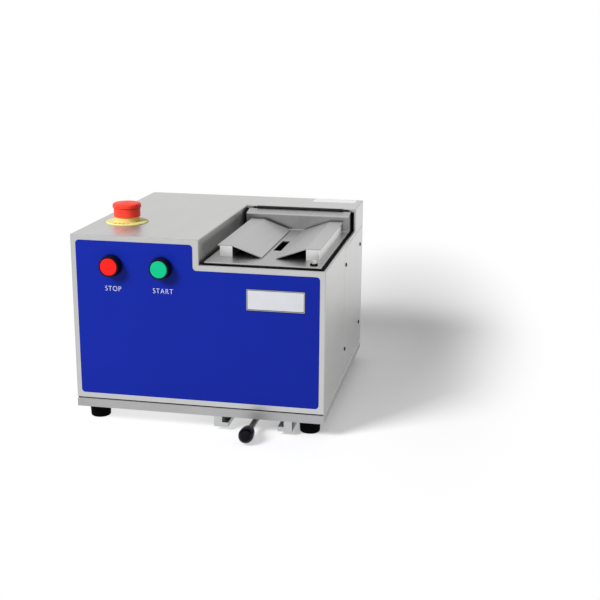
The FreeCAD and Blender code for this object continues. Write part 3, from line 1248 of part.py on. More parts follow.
SECTOR_PITCH = value("gear_module * sector_pitch_teeth / 2")
PINION_PITCH = value("gear_module * pinion_teeth / 2")
FEED = (PIVOT[0] - SECTOR_PITCH - PINION_PITCH, PIVOT[1])
PAIR = int(value("sector_teeth"))
STEP = 2 * math.pi / value("sector_pitch_teeth")
THIN = value("gear_backlash")
sector_points = []
for n in range(PAIR):
    sector_points += tooth(value("sector_pitch_teeth"), PIVOT, math.pi + (n - 2.5) * STEP, THIN / 2)
first_angle = math.pi - 3.2 * STEP
last_angle = math.pi + (PAIR - 2.3) * STEP
root_radius = SECTOR_PITCH - 1.25 * value("gear_module")
hub_out = value("hub_radius + bush_wall * 2")


def round_pivot(radius, angle):
    return (PIVOT[0] + radius * math.cos(angle), PIVOT[1] + radius * math.sin(angle))


sector_points = [round_pivot(root_radius, first_angle)] + sector_points + [
    round_pivot(root_radius, last_angle), round_pivot(hub_out, last_angle + 0.6),
    round_pivot(hub_out, first_angle - 0.6)]
sector = plate_from(sector_points, value(ARM_RIGHT), value("gear_thick"))
sector = sector.fuse(bar("x", "hub_radius + bush_wall * 2", "gear_thick", ARM_RIGHT, "pivot_y", PIVOT_Z))
sector = sector.cut(bar("x", "hub_radius + bearing_gap", "gear_thick", ARM_RIGHT, "pivot_y", PIVOT_Z))
made("feed_sector", sector.removeSplitter())

pinion_points = []
for n in range(int(value("pinion_teeth"))):
    heading = n * 2 * math.pi / value("pinion_teeth")
    pinion_points += tooth(value("pinion_teeth"), FEED, heading, THIN / 2)
pinion = plate_from(pinion_points, value(f"{ARM_RIGHT} - gear_lap"), value("gear_thick + 2 * gear_lap"))
FEED_Y = "(pivot_y - gear_module * (sector_pitch_teeth + pinion_teeth) / 2)"
FEED_SHAFT_X = "(feed_bracket_x + running_gap)"
feed_shaft = bar("x", "feed_shaft", f"{ARM_RIGHT} + gear_thick + feed_shaft_end - {FEED_SHAFT_X}",
                 FEED_SHAFT_X, FEED_Y, PIVOT_Z)
made("feed_pinion", pinion.fuse(feed_shaft).removeSplitter())

# feed gear motor: square gearbox with a small round motor, on a plate bracket
gearbox = block("feed_bracket_x - feed_box_length", f"{FEED_Y} - feed_box / 2", f"{PIVOT_Z} - feed_box / 2",
                "feed_bracket_x", f"{FEED_Y} + feed_box / 2", f"{PIVOT_Z} + feed_box / 2")
gearbox = gearbox.makeFillet(value("bend_radius") * 2, [e for e in gearbox.Edges if runs(e, "x")])
feed_body = bar("x", "feed_motor_radius", "feed_motor_length", "feed_end_x", FEED_Y, PIVOT_Z)
made("feed_gearmotor", gearbox.fuse(feed_body).removeSplitter())
feed_bracket = Piece("feed_bracket")
feed_bracket.pad("YZ_Plane", [rect(f"{FEED_Y} - feed_box / 2", BASE_TOP, f"{FEED_Y} + feed_box / 2",
                                   f"{PIVOT_Z} + feed_box / 2")], "feed_bracket_x", "feed_bracket_thick")
feed_bracket.pocket("YZ_Plane", [("circle", FEED_Y, PIVOT_Z, "feed_shaft + feed_shaft_gap")],
                    "feed_bracket_x", "feed_bracket_thick")
feed_bracket.pad("XY_Plane", [rect("feed_bracket_x", f"{FEED_Y} - feed_box / 2",
                                   "feed_bracket_x + bracket_foot", f"{FEED_Y} + feed_box / 2")],
                 BASE_TOP, "feed_bracket_thick")

# electrics: mounting rail on the base plate with contactor, power supply and terminals
DIN_TOP = f"({BASE_TOP} + din_height)"
din = Piece("din_rail", "din_x")
din.pad("XZ_Plane", [[
    ("-din_width / 2", f"{DIN_TOP} - din_sheet"), ("-din_width / 2", DIN_TOP),
    ("-din_width / 3.5", DIN_TOP), ("-din_width / 3.5", f"{BASE_TOP} + din_sheet"),
    ("din_width / 3.5", f"{BASE_TOP} + din_sheet"), ("din_width / 3.5", DIN_TOP),
    ("din_width / 2", DIN_TOP), ("din_width / 2", f"{DIN_TOP} - din_sheet"),
    ("din_width / 3.5 + din_sheet", f"{DIN_TOP} - din_sheet"), ("din_width / 3.5 + din_sheet", BASE_TOP),
    ("-din_width / 3.5 - din_sheet", BASE_TOP), ("-din_width / 3.5 - din_sheet", f"{DIN_TOP} - din_sheet"),
]], "din_front", "din_length")


def device(label, front, depth, height, shoulder):
    """Rail-mounted box with stepped terminal shoulders at its front and back."""
    box = Piece(label, "din_x", front, DIN_TOP)
    step = f"{height} * {shoulder}"
    box.pad("YZ_Plane", [[
        ("0", "0"), (depth, "0"), (depth, step), (f"{depth} - device_gap", step),
        (f"{depth} - device_gap", height), ("device_gap", height), ("device_gap", step), ("0", step),
    ]], "-contactor_width / 2", "contactor_width")
    box.soften("Chamfer", "bend_radius", lambda e: runs(e, "x") and e.BoundBox.ZMin > value("device_gap"))
    return box


device("contactor", "din_front + device_gap", "contactor_depth", "contactor_height", "0.6")
device("power_supply", "din_front + contactor_depth + 2 * device_gap", "supply_depth", "supply_height", "0.8")
device("terminal_block", "din_front + contactor_depth + supply_depth + 3 * device_gap",
       "terminal_depth", "terminal_height", "0.7")

doc.recompute()
faults = []
for thing in doc.Objects:
    if {"Invalid", "Error"} & set(thing.State):
        faults.append(f"{thing.Label}: {thing.State}")
for piece in PIECES:
    if piece.Shape.isNull() or not piece.Shape.isValid():
        faults.append(f"{piece.Label}: no valid shape")
if faults:
    raise RuntimeError("; ".join(faults))
for piece in PIECES:
    piece.Shape.exportStep(f"parts/{piece.Label}.step")
print(f"{len(PIECES)} sub-parts written")
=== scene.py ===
import math

import bmesh
import bpy
from mathutils import Euler, Matrix, Vector


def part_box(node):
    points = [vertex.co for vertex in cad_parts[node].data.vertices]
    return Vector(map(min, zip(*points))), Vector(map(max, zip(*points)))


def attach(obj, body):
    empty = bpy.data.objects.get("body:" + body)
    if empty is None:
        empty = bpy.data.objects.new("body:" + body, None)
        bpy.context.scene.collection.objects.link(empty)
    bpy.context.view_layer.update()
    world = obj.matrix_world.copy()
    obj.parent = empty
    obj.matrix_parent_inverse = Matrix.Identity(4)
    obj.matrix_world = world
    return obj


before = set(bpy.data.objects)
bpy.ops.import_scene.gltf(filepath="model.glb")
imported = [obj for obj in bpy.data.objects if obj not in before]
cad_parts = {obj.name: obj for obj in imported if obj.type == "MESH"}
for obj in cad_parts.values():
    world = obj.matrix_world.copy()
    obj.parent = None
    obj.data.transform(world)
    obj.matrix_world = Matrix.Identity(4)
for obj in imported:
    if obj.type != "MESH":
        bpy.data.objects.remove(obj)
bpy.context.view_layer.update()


# Base plate: one thick aluminium plate under the whole machine, sawn and milled, then clear anodised.
# Its top edge is bevelled, and fine cutter marks run along its front and sides.

class Wire:
    """A shader socket that takes part in Python sums."""

    def __init__(self, nodes, socket):
        self.nodes = nodes
        self.socket = socket

    def reckon(self, operation, first, second):
        """Add one Math node and return its result."""
        return self.nodes.node("ShaderNodeMath", {"operation": operation}, {0: first, 1: second})["Value"]

    def __add__(self, other):
        return self.reckon("ADD", self, other)

    def __radd__(self, other):
        return self.reckon("ADD", other, self)

    def __sub__(self, other):
        return self.reckon("SUBTRACT", self, other)

    def __rsub__(self, other):
        return self.reckon("SUBTRACT", other, self)

    def __mul__(self, other):
        return self.reckon("MULTIPLY", self, other)

    def __rmul__(self, other):
        return self.reckon("MULTIPLY", other, self)

    def above(self, edge):
        """1 where the value is above an edge, else 0."""
        return self.reckon("GREATER_THAN", self, edge)

    def size(self):
        """The value without its sign."""
        return self.reckon("ABSOLUTE", self, 0.0)


class Step:
    """One added node; its outputs are read by name."""

    def __init__(self, nodes, made):
        self.nodes = nodes
        self.made = made

    def __getitem__(self, name):
        live = [one for one in self.made.outputs if one.name == name and one.enabled]
        return Wire(self.nodes, live[0])


class Nodes:
    """A node tree with one way to add to it."""

    def __init__(self, tree):
        self.tree = tree

    def node(self, kind, settings=None, values=None):
        """Add a node: its settings first, then the values or links of its sockets."""
        made = self.tree.nodes.new(kind)
        for name, setting in (settings or {}).items():
            setattr(made, name, setting)
        for name, amount in (values or {}).items():
            if isinstance(amount, Wire):
                self.tree.links.new(amount.socket, made.inputs[name])
            else:
                made.inputs[name].default_value = amount
        return Step(self, made)


class Finish(Nodes):
    """A surface finish worked out by nodes over the piece's own coordinates."""

    def __init__(self, name, **constants):
        self.material = bpy.data.materials.new(name)
        self.material.use_nodes = True
        super().__init__(self.material.node_tree)
        self.shader = self.tree.nodes["Principled BSDF"]
        for name, amount in constants.items():
            self.shader.inputs[name.replace("_", " ").title().replace("Ior", "IOR")].default_value = amount

    def feed(self, name, wire):
        """Link a wire to a socket of the finish's shader."""
        self.tree.links.new(wire.socket, self.shader.inputs[name])

    def place(self):
        """The piece's own coordinates, in metres."""
        return self.node("ShaderNodeTexCoord")["Object"]

    def facing(self):
        """Which way the surface looks, as three parts X, Y and Z."""
        return self.node("ShaderNodeSeparateXYZ", None, {0: self.node("ShaderNodeTexCoord")["Normal"]})

    def stretched(self, across):
        """Coordinates scaled along each axis, for a grain that runs one way."""
        return self.node("ShaderNodeVectorMath", {"operation": "MULTIPLY"},
                         {0: self.place(), 1: across})["Vector"]

    def noise(self, scale, detail, along=None):
        """Noise over the surface; along gives the scale of each axis for a grain."""
        at = self.place() if along is None else self.stretched(along)
        return self.node("ShaderNodeTexNoise", None,
                         {"Vector": at, "Scale": scale, "Detail": detail, "Roughness": 0.55})["Fac"]

    def blend(self, amount, first, second):
        """Colour from first to second by an amount."""
        step = self.node("ShaderNodeMix", {"data_type": "RGBA"}, {0: amount})
        for socket, colour in zip([one for one in step.made.inputs if one.type == "RGBA"], (first, second)):
            if isinstance(colour, Wire):
                self.tree.links.new(colour.socket, socket)
            else:
                socket.default_value = (*colour, 1.0)
        live = [one for one in step.made.outputs if one.type == "RGBA"]
        return Wire(self, live[0])

    def relief(self, height, depth, strength, rounded=None):
        """Bump from a height map, over edges that a bevel shader rounds off."""
        values = {"Height": height, "Distance": depth, "Strength": strength}
        if rounded:
            values["Normal"] = self.node("ShaderNodeBevel", {"samples": 4}, {"Radius": rounded})["Normal"]
        self.feed("Normal", self.node("ShaderNodeBump", None, values)["Normal"])


def tint(shade, share):
    """A darker or lighter tone of a shade."""
    return tuple(min(1.0, part * share) for part in shade)


def dress(finish, *names):
    """Give CAD nodes a finish."""
    for name in names:
        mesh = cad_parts[name].data
        mesh.materials.clear()
        mesh.materials.append(finish.material)


def milled_alloy(name, shade, marks, rough=0.3):
    """Milled and anodised aluminium: cutter marks along one axis, a faint cloud of handling marks."""
    finish = Finish(name, metallic=1.0)
    cut = finish.noise(scale=1.0, detail=2.0, along=marks)
    cloud = finish.noise(scale=22.0, detail=3.0)
    finish.feed("Base Color", finish.blend(cut * 0.25 + cloud * 0.75, tint(shade, 0.86), tint(shade, 1.06)))
    finish.feed("Roughness", rough + 0.16 * cut)
    finish.relief(cut, depth=0.00004, strength=0.35, rounded=0.0004)
    return finish


dress(milled_alloy("base_plate_anodised", shade=(0.47, 0.47, 0.47), marks=(30.0, 30.0, 2600.0), rough=0.42),
      "base_plate")


# Feet and seals: four moulded rubber buffers under the corners of the base plate, and flat rubber
# between the plate and the casing, round the lid and under the thumb screw, where the black washer
# is in part painted shade beside the screw's head. Matte black, a little dusty.

def black_rubber(name, shade):
    """Matte moulded rubber with a fine pebble and a bloom of grey dust."""
    finish = Finish(name, roughness=0.7, specular_ior_level=0.03)
    grain = finish.noise(scale=1400.0, detail=2.0)
    bloom = finish.noise(scale=60.0, detail=4.0)
    dusty = tuple(part * 2.0 + 0.001 for part in shade)
    finish.feed("Base Color", finish.blend(bloom * 0.6, shade, dusty))
    finish.feed("Roughness", 0.6 + 0.25 * bloom)
    finish.relief(grain, depth=0.00003, strength=0.5)
    return finish


# Painted shade: the thumb washer's black stands in part for the shade beside the thumb screw.
dress(black_rubber("moulded_rubber", shade=(0.0015, 0.0015, 0.002)),
      "rubber_feet", "base_seal", "lid_seal", "thumb_washer")


# Casing: stainless sheet folded to a box, ground with a fine belt before it was bent. The grain runs
# up the front, sides and back and from front to back over the top; bends are rounded.

STEEL = (0.53, 0.53, 0.525)
# colour of the painted shade mixed into the bends
BEND_SHADE_COLOUR = (0.1, 0.1, 0.1)
BEND_ROUNDING = 0.0005
LEVEL = 0.7  # a face whose normal points up or down by more than this counts as level


def ground_sheet(name, shade, rough, bend_shade_and_dulling=0.0):
    """Belt-ground stainless sheet: grain streaks, faint hand marks, painted light on upright faces, painted
    shade on bends.
    """
    finish = Finish(name, metallic=1.0)
    facing = finish.facing()
    up = facing["Z"].size().above(LEVEL)
    upright = 1.0 - up
    streak = (finish.noise(scale=1.0, detail=3.0, along=(900.0, 900.0, 14.0)) * upright
              + finish.noise(scale=1.0, detail=3.0, along=(900.0, 14.0, 900.0)) * up)
    broad = (finish.noise(scale=1.0, detail=2.0, along=(60.0, 60.0, 5.0)) * upright
             + finish.noise(scale=1.0, detail=2.0, along=(60.0, 5.0, 60.0)) * up)
    cloud = finish.noise(scale=9.0, detail=4.0)
    # Painted light: the 0.3 * upright term makes upright faces lighter than level ones.
    tone = streak * 0.45 + broad * 0.3 + cloud * 0.25 + 0.3 * upright
    ground = finish.blend(tone, tint(shade, 0.84), tint(shade, 1.16))
    polish = rough + 0.14 * streak + 0.08 * cloud + 0.08 * up
    # Painted shade: bends get a darker colour that dims their highlight, and a rougher surface.
    if bend_shade_and_dulling:
        x, y, z = [facing[axis] * facing[axis] for axis in "XYZ"]
        bend = (2.0 - 2.0 * (x * x + y * y + z * z)) * bend_shade_and_dulling
        ground = finish.blend(bend, ground, BEND_SHADE_COLOUR)
        polish = polish + 0.3 * bend
    finish.feed("Base Color", ground)
    finish.feed("Roughness", polish)
    finish.relief(streak, depth=0.00002, strength=0.35, rounded=BEND_ROUNDING)
    return finish


dress(ground_sheet("casing_sheet", shade=STEEL, rough=0.22, bend_shade_and_dulling=0.25),
      "casing", "side_cover", "rear_panel")


# Front label: printed film stuck on the casing's front, in one blue with a satin surface. It leaves
# the steel bare as a border and carries the words under the two push buttons in white.

BLUE = (0.0035, 0.0155, 0.285)
LABEL_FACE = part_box("front_label")[0].y
# Each word with the X and Z of its middle
WORD_SPOTS = (("STOP", -0.1161, 0.1931), ("START", -0.0459, 0.1932))
WORD_HEIGHT = 0.0068
WORD_WEIGHT = -0.00005
PRINT_THICK = 0.00008
CAPITAL_SHARE = 0.69  # a capital's height in the font's size
LETTER_GAP = 1.18
LETTER_WIDTH = 0.88

blue_film = Finish("blue_film", roughness=0.4, specular_ior_level=0.12)
film_cloud = blue_film.noise(scale=7.0, detail=3.0)
film_grain = blue_film.noise(scale=1100.0, detail=2.0)
blue_film.feed("Base Color", blue_film.blend(film_cloud, tint(BLUE, 0.9), tint(BLUE, 1.1)))
blue_film.feed("Roughness", 0.36 + 0.08 * film_grain)
blue_film.relief(film_grain, depth=0.00001, strength=0.4, rounded=0.0002)
dress(blue_film, "front_label")


def print_ink(name, thin, full, wear_scale):
    """Screen-printed ink, worn a little thin in fine spots."""
    finish = Finish(name, roughness=0.5)
    wear = finish.noise(scale=wear_scale, detail=3.0)
    finish.feed("Base Color", finish.blend(wear, thin, full))
    finish.feed("Roughness", 0.4 + 0.2 * wear)
    return finish


def add_piece(name, mesh, body):
    """Link a finished mesh as a piece that rides on a body."""
    piece = bpy.data.objects.new(name, mesh)
    bpy.context.scene.collection.objects.link(piece)
    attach(piece, body)
    return piece


def printed_word(name, text, centre, turn, height, weight, ink):
    """A plain word printed on the machine as a film; weight thins or thickens its strokes."""
    curve = bpy.data.curves.new(name, "FONT")
    curve.body = text
    curve.align_x = "CENTER"
    curve.align_y = "CENTER"
    curve.size = height / CAPITAL_SHARE
    curve.space_character = LETTER_GAP
    curve.extrude = PRINT_THICK / 2
    curve.offset = weight
    letters = bpy.data.objects.new(name, curve)
    bpy.context.scene.collection.objects.link(letters)
    bpy.context.view_layer.update()
    mesh = bpy.data.meshes.new_from_object(letters)
    bpy.data.objects.remove(letters)
    mesh.transform(Matrix.LocRotScale(Vector(centre), Euler(turn), Vector((LETTER_WIDTH, 1.0, 1.0))))
    mesh.materials.clear()
    mesh.materials.append(ink.material)
    return add_piece(name, mesh, "machine")


white_print = print_ink("white_print", thin=(0.5, 0.51, 0.56), full=(0.58, 0.59, 0.64), wear_scale=300.0)
for word, x, z in WORD_SPOTS:
    letters = printed_word(f"word_{word.lower()}", word, (x, LABEL_FACE - PRINT_THICK / 2, z),
                           (math.radians(90), 0, 0), WORD_HEIGHT, WORD_WEIGHT, white_print)


# Plate at the label's upper right: a thin aluminium plate with a raised rim, stuck on the film. Its
# edge and a line inside the rim are near black as painted shade; its face is white and left bare.

PLATE_LEFT, PLATE_RIGHT = 0.0689, 0.1483
PLATE_FOOT, PLATE_HEAD = 0.1741, 0.2033
PLATE_THICK = 0.0011
PLATE_RIM = 0.0013
PLATE_SUNK = 0.0004
PLATE_CORNER = 0.0012
# How far each ring is set in from the plate's edge, and out from the film
PLATE_PROFILE = ((0.0, 0.0), (0.0, PLATE_THICK * 0.6), (PLATE_RIM * 0.25, PLATE_THICK),
                 (PLATE_RIM * 0.8, PLATE_THICK), (PLATE_RIM, PLATE_THICK - PLATE_SUNK),
                 (PLATE_RIM * 1.4, PLATE_THICK - PLATE_SUNK))
METAL, LINE, FACE = 0, 1, 2  # the plate's finishes in their order


def plate_ring(bm, inset, out):
    """Rounded rectangle round the plate, set in from its edge and out from the film."""
    left, right = PLATE_LEFT + inset + PLATE_CORNER, PLATE_RIGHT - inset - PLATE_CORNER
    foot, head = PLATE_FOOT + inset + PLATE_CORNER, PLATE_HEAD - inset - PLATE_CORNER
    ring = []
    for x, z, start in ((right, head, 0), (left, head, 90), (left, foot, 180), (right, foot, 270)):
        for turn in (0, 30, 60, 90):
            angle = math.radians(start + turn)
            ring.append(bm.verts.new((x + PLATE_CORNER * math.cos(angle), LABEL_FACE - out,
                                      z + PLATE_CORNER * math.sin(angle))))
    return ring


def skin(bm, rings, bands, top):
    """Faces from ring to ring and over both ends; bands and top say which finish each part has."""
    for outer, inner, paint in zip(rings, rings[1:], bands):
        for n in range(len(outer)):
            after = (n + 1) % len(outer)
            bm.faces.new((outer[n], outer[after], inner[after], inner[n])).material_index = paint
    bm.faces.new(rings[-1]).material_index = top
    bm.faces.new(list(reversed(rings[0])))


def made_mesh(name, bm, *finishes, smooth=False):
    """Turn all faces outward and keep them as a mesh with its finishes."""
    bmesh.ops.recalc_face_normals(bm, faces=bm.faces)
    mesh = bpy.data.meshes.new(name)
    bm.to_mesh(mesh)
    bm.free()
    for face in mesh.polygons:
        face.use_smooth = smooth
    for finish in finishes:
        mesh.materials.append(finish.material)
    return mesh


def rimmed_plate(name, *finishes):
    """Plate on the label: raised rim, sunk line and face."""
    bm = bmesh.new()
    rings = [plate_ring(bm, inset, out) for inset, out in PLATE_PROFILE]
    skin(bm, rings, (LINE, LINE, METAL, LINE, LINE), FACE)
    return made_mesh(name, bm, *finishes)


plate_metal = Finish("plate_metal", metallic=1.0)
plate_grain = plate_metal.noise(scale=1.0, detail=3.0, along=(16.0, 700.0, 1100.0))
plate_cloud = plate_metal.noise(scale=30.0, detail=3.0)
plate_metal.feed("Base Color", plate_metal.blend(plate_grain * 0.5 + plate_cloud * 0.5,
                                                 (0.4, 0.41, 0.42), (0.5, 0.51, 0.52)))
plate_metal.feed("Roughness", 0.2 + 0.2 * plate_grain)
plate_metal.relief(plate_grain, depth=0.00001, strength=0.3)

# Painted shade: the plate's side and the step inside its rim are near black.
plate_black = Finish("plate_black", roughness=0.5)
dark_line_drift = plate_black.noise(scale=500.0, detail=3.0)
plate_black.feed("Base Color", plate_black.blend(dark_line_drift, (0.02, 0.02, 0.022), (0.06, 0.06, 0.065)))

plate_white = Finish("plate_white", roughness=0.4)
face_cloud = plate_white.noise(scale=60.0, detail=3.0)
plate_white.feed("Base Color", plate_white.blend(face_cloud, (0.55, 0.56, 0.59), (0.61, 0.62, 0.65)))
plate_white.feed("Roughness", 0.35 + 0.12 * face_cloud)

plate_mesh = rimmed_plate("bare_plate", plate_metal, plate_black, plate_white)
add_piece("bare_plate", plate_mesh, "machine")


# Sticker on the column's top sheet, over the hinge: a bare white strip of vinyl.
# It is cut with rounded corners and pressed on.

STICKER_LEFT, STICKER_RIGHT = 0.098, 0.1655
STICKER_FRONT, STICKER_BACK = 0.171, 0.198
STICKER_THICK = 0.00015
STICKER_CORNER = 0.002
COLUMN_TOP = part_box("casing")[1].z


def column_strip(name, finish):
    """Thin film on the column's top."""
    bm = bmesh.new()
    bmesh.ops.create_cube(bm, size=1.0)
    bmesh.ops.scale(bm, vec=(STICKER_RIGHT - STICKER_LEFT, STICKER_BACK - STICKER_FRONT, STICKER_THICK),
                    verts=bm.verts)
    middle = ((STICKER_LEFT + STICKER_RIGHT) / 2, (STICKER_FRONT + STICKER_BACK) / 2,
              COLUMN_TOP + STICKER_THICK / 2)
    bmesh.ops.translate(bm, vec=middle, verts=bm.verts)
    upright = [edge for edge in bm.edges if abs(edge.verts[0].co.z - edge.verts[1].co.z) > STICKER_THICK / 2]
    bmesh.ops.bevel(bm, geom=upright, offset=STICKER_CORNER, segments=4, affect="EDGES")
    return made_mesh(name, bm, finish)


vinyl = Finish("white_vinyl", roughness=0.35)
vinyl_cloud = vinyl.noise(scale=40.0, detail=3.0)
vinyl.feed("Base Color", vinyl.blend(vinyl_cloud, (0.8, 0.8, 0.82), (0.88, 0.88, 0.9)))
vinyl.feed("Roughness", 0.3 + 0.12 * vinyl_cloud)
add_piece("column_sticker", column_strip("column_sticker", vinyl), "machine")


# Push buttons: black moulded bezels clamped through the front, with a red and a green cap that
# stand just proud. The caps are clear-fronted lamps' lenses, so they look a little deep.

MOULD_ROUNDING = 0.0004


def moulded(name, shade, rough, deep=0.0):
    """Injection-moulded plastic: fine spark texture, slight tone drift, satin gloss."""
    finish = Finish(name, roughness=rough, coat_weight=deep, coat_roughness=0.15, specular_ior_level=0.15)
    drift = finish.noise(scale=45.0, detail=3.0)
    texture = finish.noise(scale=2200.0, detail=2.0)
    finish.feed("Base Color", finish.blend(drift, tint(shade, 0.88), tint(shade, 1.1)))
    finish.feed("Roughness", rough - 0.06 + 0.14 * drift)
    finish.relief(texture, depth=0.00001, strength=0.4, rounded=MOULD_ROUNDING)
    return finish


dress(moulded("bezel_plastic", shade=(0.003, 0.003, 0.0035), rough=0.38),
      "stop_bezel", "start_bezel", "estop_plunger")
dress(moulded("red_lens", shade=(0.92, 0.01, 0.008), rough=0.3, deep=0.02), "stop_button")
dress(moulded("green_lens", shade=(0.0, 0.47, 0.22), rough=0.3, deep=0.02), "start_button")


# Emergency stop: a yellow ring plate and collar on the top sheet, with a red mushroom head that
# latches down and is turned to let go. The ring plate carries its word twice, letter by letter.

DISC_RADIUS = 0.03
DISC_LETTER_RING = 0.0245
DISC_LETTER_HEIGHT = 0.0052
DISC_LETTER_WEIGHT = 0.00012
DISC_LETTER_PITCH = 15.0
disc_low, disc_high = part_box("estop_disc")
DISC_CENTRE = Vector((disc_high.x - DISC_RADIUS, disc_low.y + DISC_RADIUS, disc_high.z + PRINT_THICK / 2))

dress(moulded("signal_yellow", shade=(0.68, 0.69, 0.25), rough=0.45), "estop_disc")
dress(moulded("amber_yellow", shade=(0.8, 0.54, 0.2), rough=0.5), "estop_collar")
dress(moulded("mushroom_red", shade=(0.93, 0.055, 0.032), rough=0.42), "estop_mushroom")

black_print = print_ink("black_print", thin=(0.01, 0.01, 0.01), full=(0.03, 0.03, 0.028), wear_scale=400.0)
for side, middle in (("front", -90.0), ("rear", 90.0)):
    for n, letter in enumerate("STOP"):
        turn = math.radians(middle + (n - 1.5) * DISC_LETTER_PITCH)
        spot = DISC_CENTRE + Vector((math.cos(turn), math.sin(turn), 0)) * DISC_LETTER_RING
        piece = printed_word(f"disc_{side}_{n + 1}", letter, spot, (0, 0, turn + math.radians(90)),
                             DISC_LETTER_HEIGHT, DISC_LETTER_WEIGHT, black_print)


# Lid and hinge: the lid is a folded stainless plate with a raised wall at its back, brushed from
# front to back and well scratched in use. The hinge's leaves and the screws are blackened.

dress(ground_sheet("table_sheet", shade=(0.39, 0.39, 0.39), rough=0.2), "lid")

blackened = Finish("black_oxide", metallic=0.9)
oxide = blackened.noise(scale=500.0, detail=3.0)
blackened.feed("Base Color", blackened.blend(oxide, (0.012, 0.012, 0.013), (0.04, 0.04, 0.042)))
blackened.feed("Roughness", 0.35 + 0.2 * oxide)
dress(blackened, "hinge_fixed_leaf", "hinge_lid_leaf", "machine_screws")


# Side cover's screws: blackened button heads with a hexagon socket. They stand a little proud of the
# cover over its flush seats and are screwed into the casing.

COVER_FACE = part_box("side_cover")[1].x
SCREW_Y = (0.02465, 0.17315)
SCREW_Z = (0.2004, 0.0719)
# Radius of the head, and how far out of the cover's face it is there
HEAD_PROFILE = ((0.003, -0.0003), (0.003, 0.0004), (0.0027, 0.001), (0.002, 0.0014), (0.00135, 0.0015))
HEAD_SIDES = 24
SOCKET_REACH = 0.0012
SOCKET_MOUTH = 0.0014
SOCKET_FLOOR = 0.0003


def socket_radius(turn):
    """How far a hexagon's wall is from its middle in one direction."""
    return SOCKET_REACH * math.cos(math.pi / 6) / math.cos((turn % (math.pi / 3)) - math.pi / 6)


def button_head(name, y, z, finish):
    """Domed head turned about X, with a hexagon socket sunk in it."""
    turns = [math.tau * n / HEAD_SIDES for n in range(HEAD_SIDES)]
    outline = [([radius] * HEAD_SIDES, out) for radius, out in HEAD_PROFILE]
    outline += [([socket_radius(turn) for turn in turns], out) for out in (SOCKET_MOUTH, SOCKET_FLOOR)]
    bm = bmesh.new()
    rings = []
    for radii, out in outline:
        spots = [(COVER_FACE + out, y + radius * math.cos(turn), z + radius * math.sin(turn))
                 for radius, turn in zip(radii, turns)]
        rings.append([bm.verts.new(spot) for spot in spots])
    skin(bm, rings, [0] * len(rings), 0)
    return made_mesh(name, bm, finish, smooth=True)


for n, (y, z) in enumerate([(y, z) for y in SCREW_Y for z in SCREW_Z]):
    name = f"cover_screw_{n + 1}"
    add_piece(name, button_head(name, y, z, blackened), "machine")


# Cradle: two milled alloy bars on the lid carry bent stainless plates, whose slopes meet over the
# slot.

dress(milled_alloy("cradle_bar_alloy", shade=(0.9, 0.9, 0.89), marks=(700.0, 20.0, 700.0)),
      "cradle_bar_left", "cradle_bar_right")
dress(ground_sheet("cradle_sheet", shade=(0.44, 0.44, 0.44), rough=0.2),
      "cradle_plate_left", "cradle_plate_right")


# Screws, shafts and plain sheet parts: turned and zinc-bright steel with fine rings from the lathe,
# and folded sheet inside the casing.

def turned_steel(name, shade, rough):
    """Lathe-turned metal with fine feed marks and faint oil bloom."""
    finish = Finish(name, metallic=1.0)
    rings = finish.noise(scale=1.0, detail=2.0, along=(2600.0, 120.0, 120.0))
    bloom = finish.noise(scale=70.0, detail=3.0)
    finish.feed("Base Color", finish.blend(rings * 0.4 + bloom * 0.6, tint(shade, 0.82), tint(shade, 1.12)))
    finish.feed("Roughness", rough + 0.16 * rings)
    finish.relief(rings, depth=0.00001, strength=0.35)
    return finish


dress(turned_steel("polished_rod", shade=(0.33, 0.33, 0.33), rough=0.1), "tray_rod")
dress(turned_steel("turned_steel", shade=(0.58, 0.58, 0.56), rough=0.25),
      "thumb_screw", "pivot_shaft", "arbor", "arbor_nut", "motor_shaft", "blade_flanges",
      "feed_pinion", "feed_sector", "spindle_bearings")
dress(ground_sheet("plain_sheet", shade=(0.5, 0.5, 0.49), rough=0.3),
      "lid_catch", "din_rail", "chip_tray", "chip_chute")


# Tray rails, spindle housing and pulleys: aluminium bar, milled to an L for the rails and turned
# for the housing and the belt's wheels.

dress(milled_alloy("rail_alloy", shade=(0.56, 0.57, 0.57), marks=(40.0, 900.0, 900.0)),
      "tray_rail_left", "tray_rail_right", "spindle_housing", "arbor_pulley", "motor_pulley")


# Tray knob: an egg-shaped pull, moulded in black resin and polished.
# It is screwed on the end of the tray's rod.

knob_resin = Finish("knob_resin", roughness=0.12, specular_ior_level=0.09)
resin_drift = knob_resin.noise(scale=90.0, detail=3.0)
knob_resin.feed("Base Color", knob_resin.blend(resin_drift, (0.002, 0.002, 0.0025), (0.005, 0.005, 0.006)))
knob_resin.feed("Roughness", 0.06 + 0.06 * resin_drift)
dress(knob_resin, "tray_knob")


# Saw arm, brackets and blades: iron castings in grey primer, coarse where they came from the sand.
# The arm turns on a bronze bush, its blades are ground tool steel, and a rubber belt drives them.

def primed_casting(name, shade):
    """Sand-cast iron under thin primer."""
    finish = Finish(name, metallic=0.2)
    sand = finish.noise(scale=700.0, detail=4.0)
    drift = finish.noise(scale=30.0, detail=3.0)
    finish.feed("Base Color", finish.blend(drift, tint(shade, 0.75), tint(shade, 1.25)))
    finish.feed("Roughness", 0.5 + 0.2 * sand)
    finish.relief(sand, depth=0.0001, strength=0.5, rounded=0.0006)
    return finish


dress(primed_casting("grey_primer", shade=(0.16, 0.18, 0.2)),
      "saw_arm", "pivot_bracket_left", "pivot_bracket_right", "feed_bracket")
dress(turned_steel("turned_bronze", shade=(0.62, 0.4, 0.16), rough=0.3), "pivot_bush")
dress(turned_steel("ground_tool_steel", shade=(0.5, 0.51, 0.53), rough=0.18), "saw_blades")
dress(black_rubber("belt_rubber", shade=(0.014, 0.014, 0.014)), "drive_belt")


# Motors and electrics: enamelled housings and moulded grey devices on their rail.
# The mains inlet in the rear panel is moulded in black.

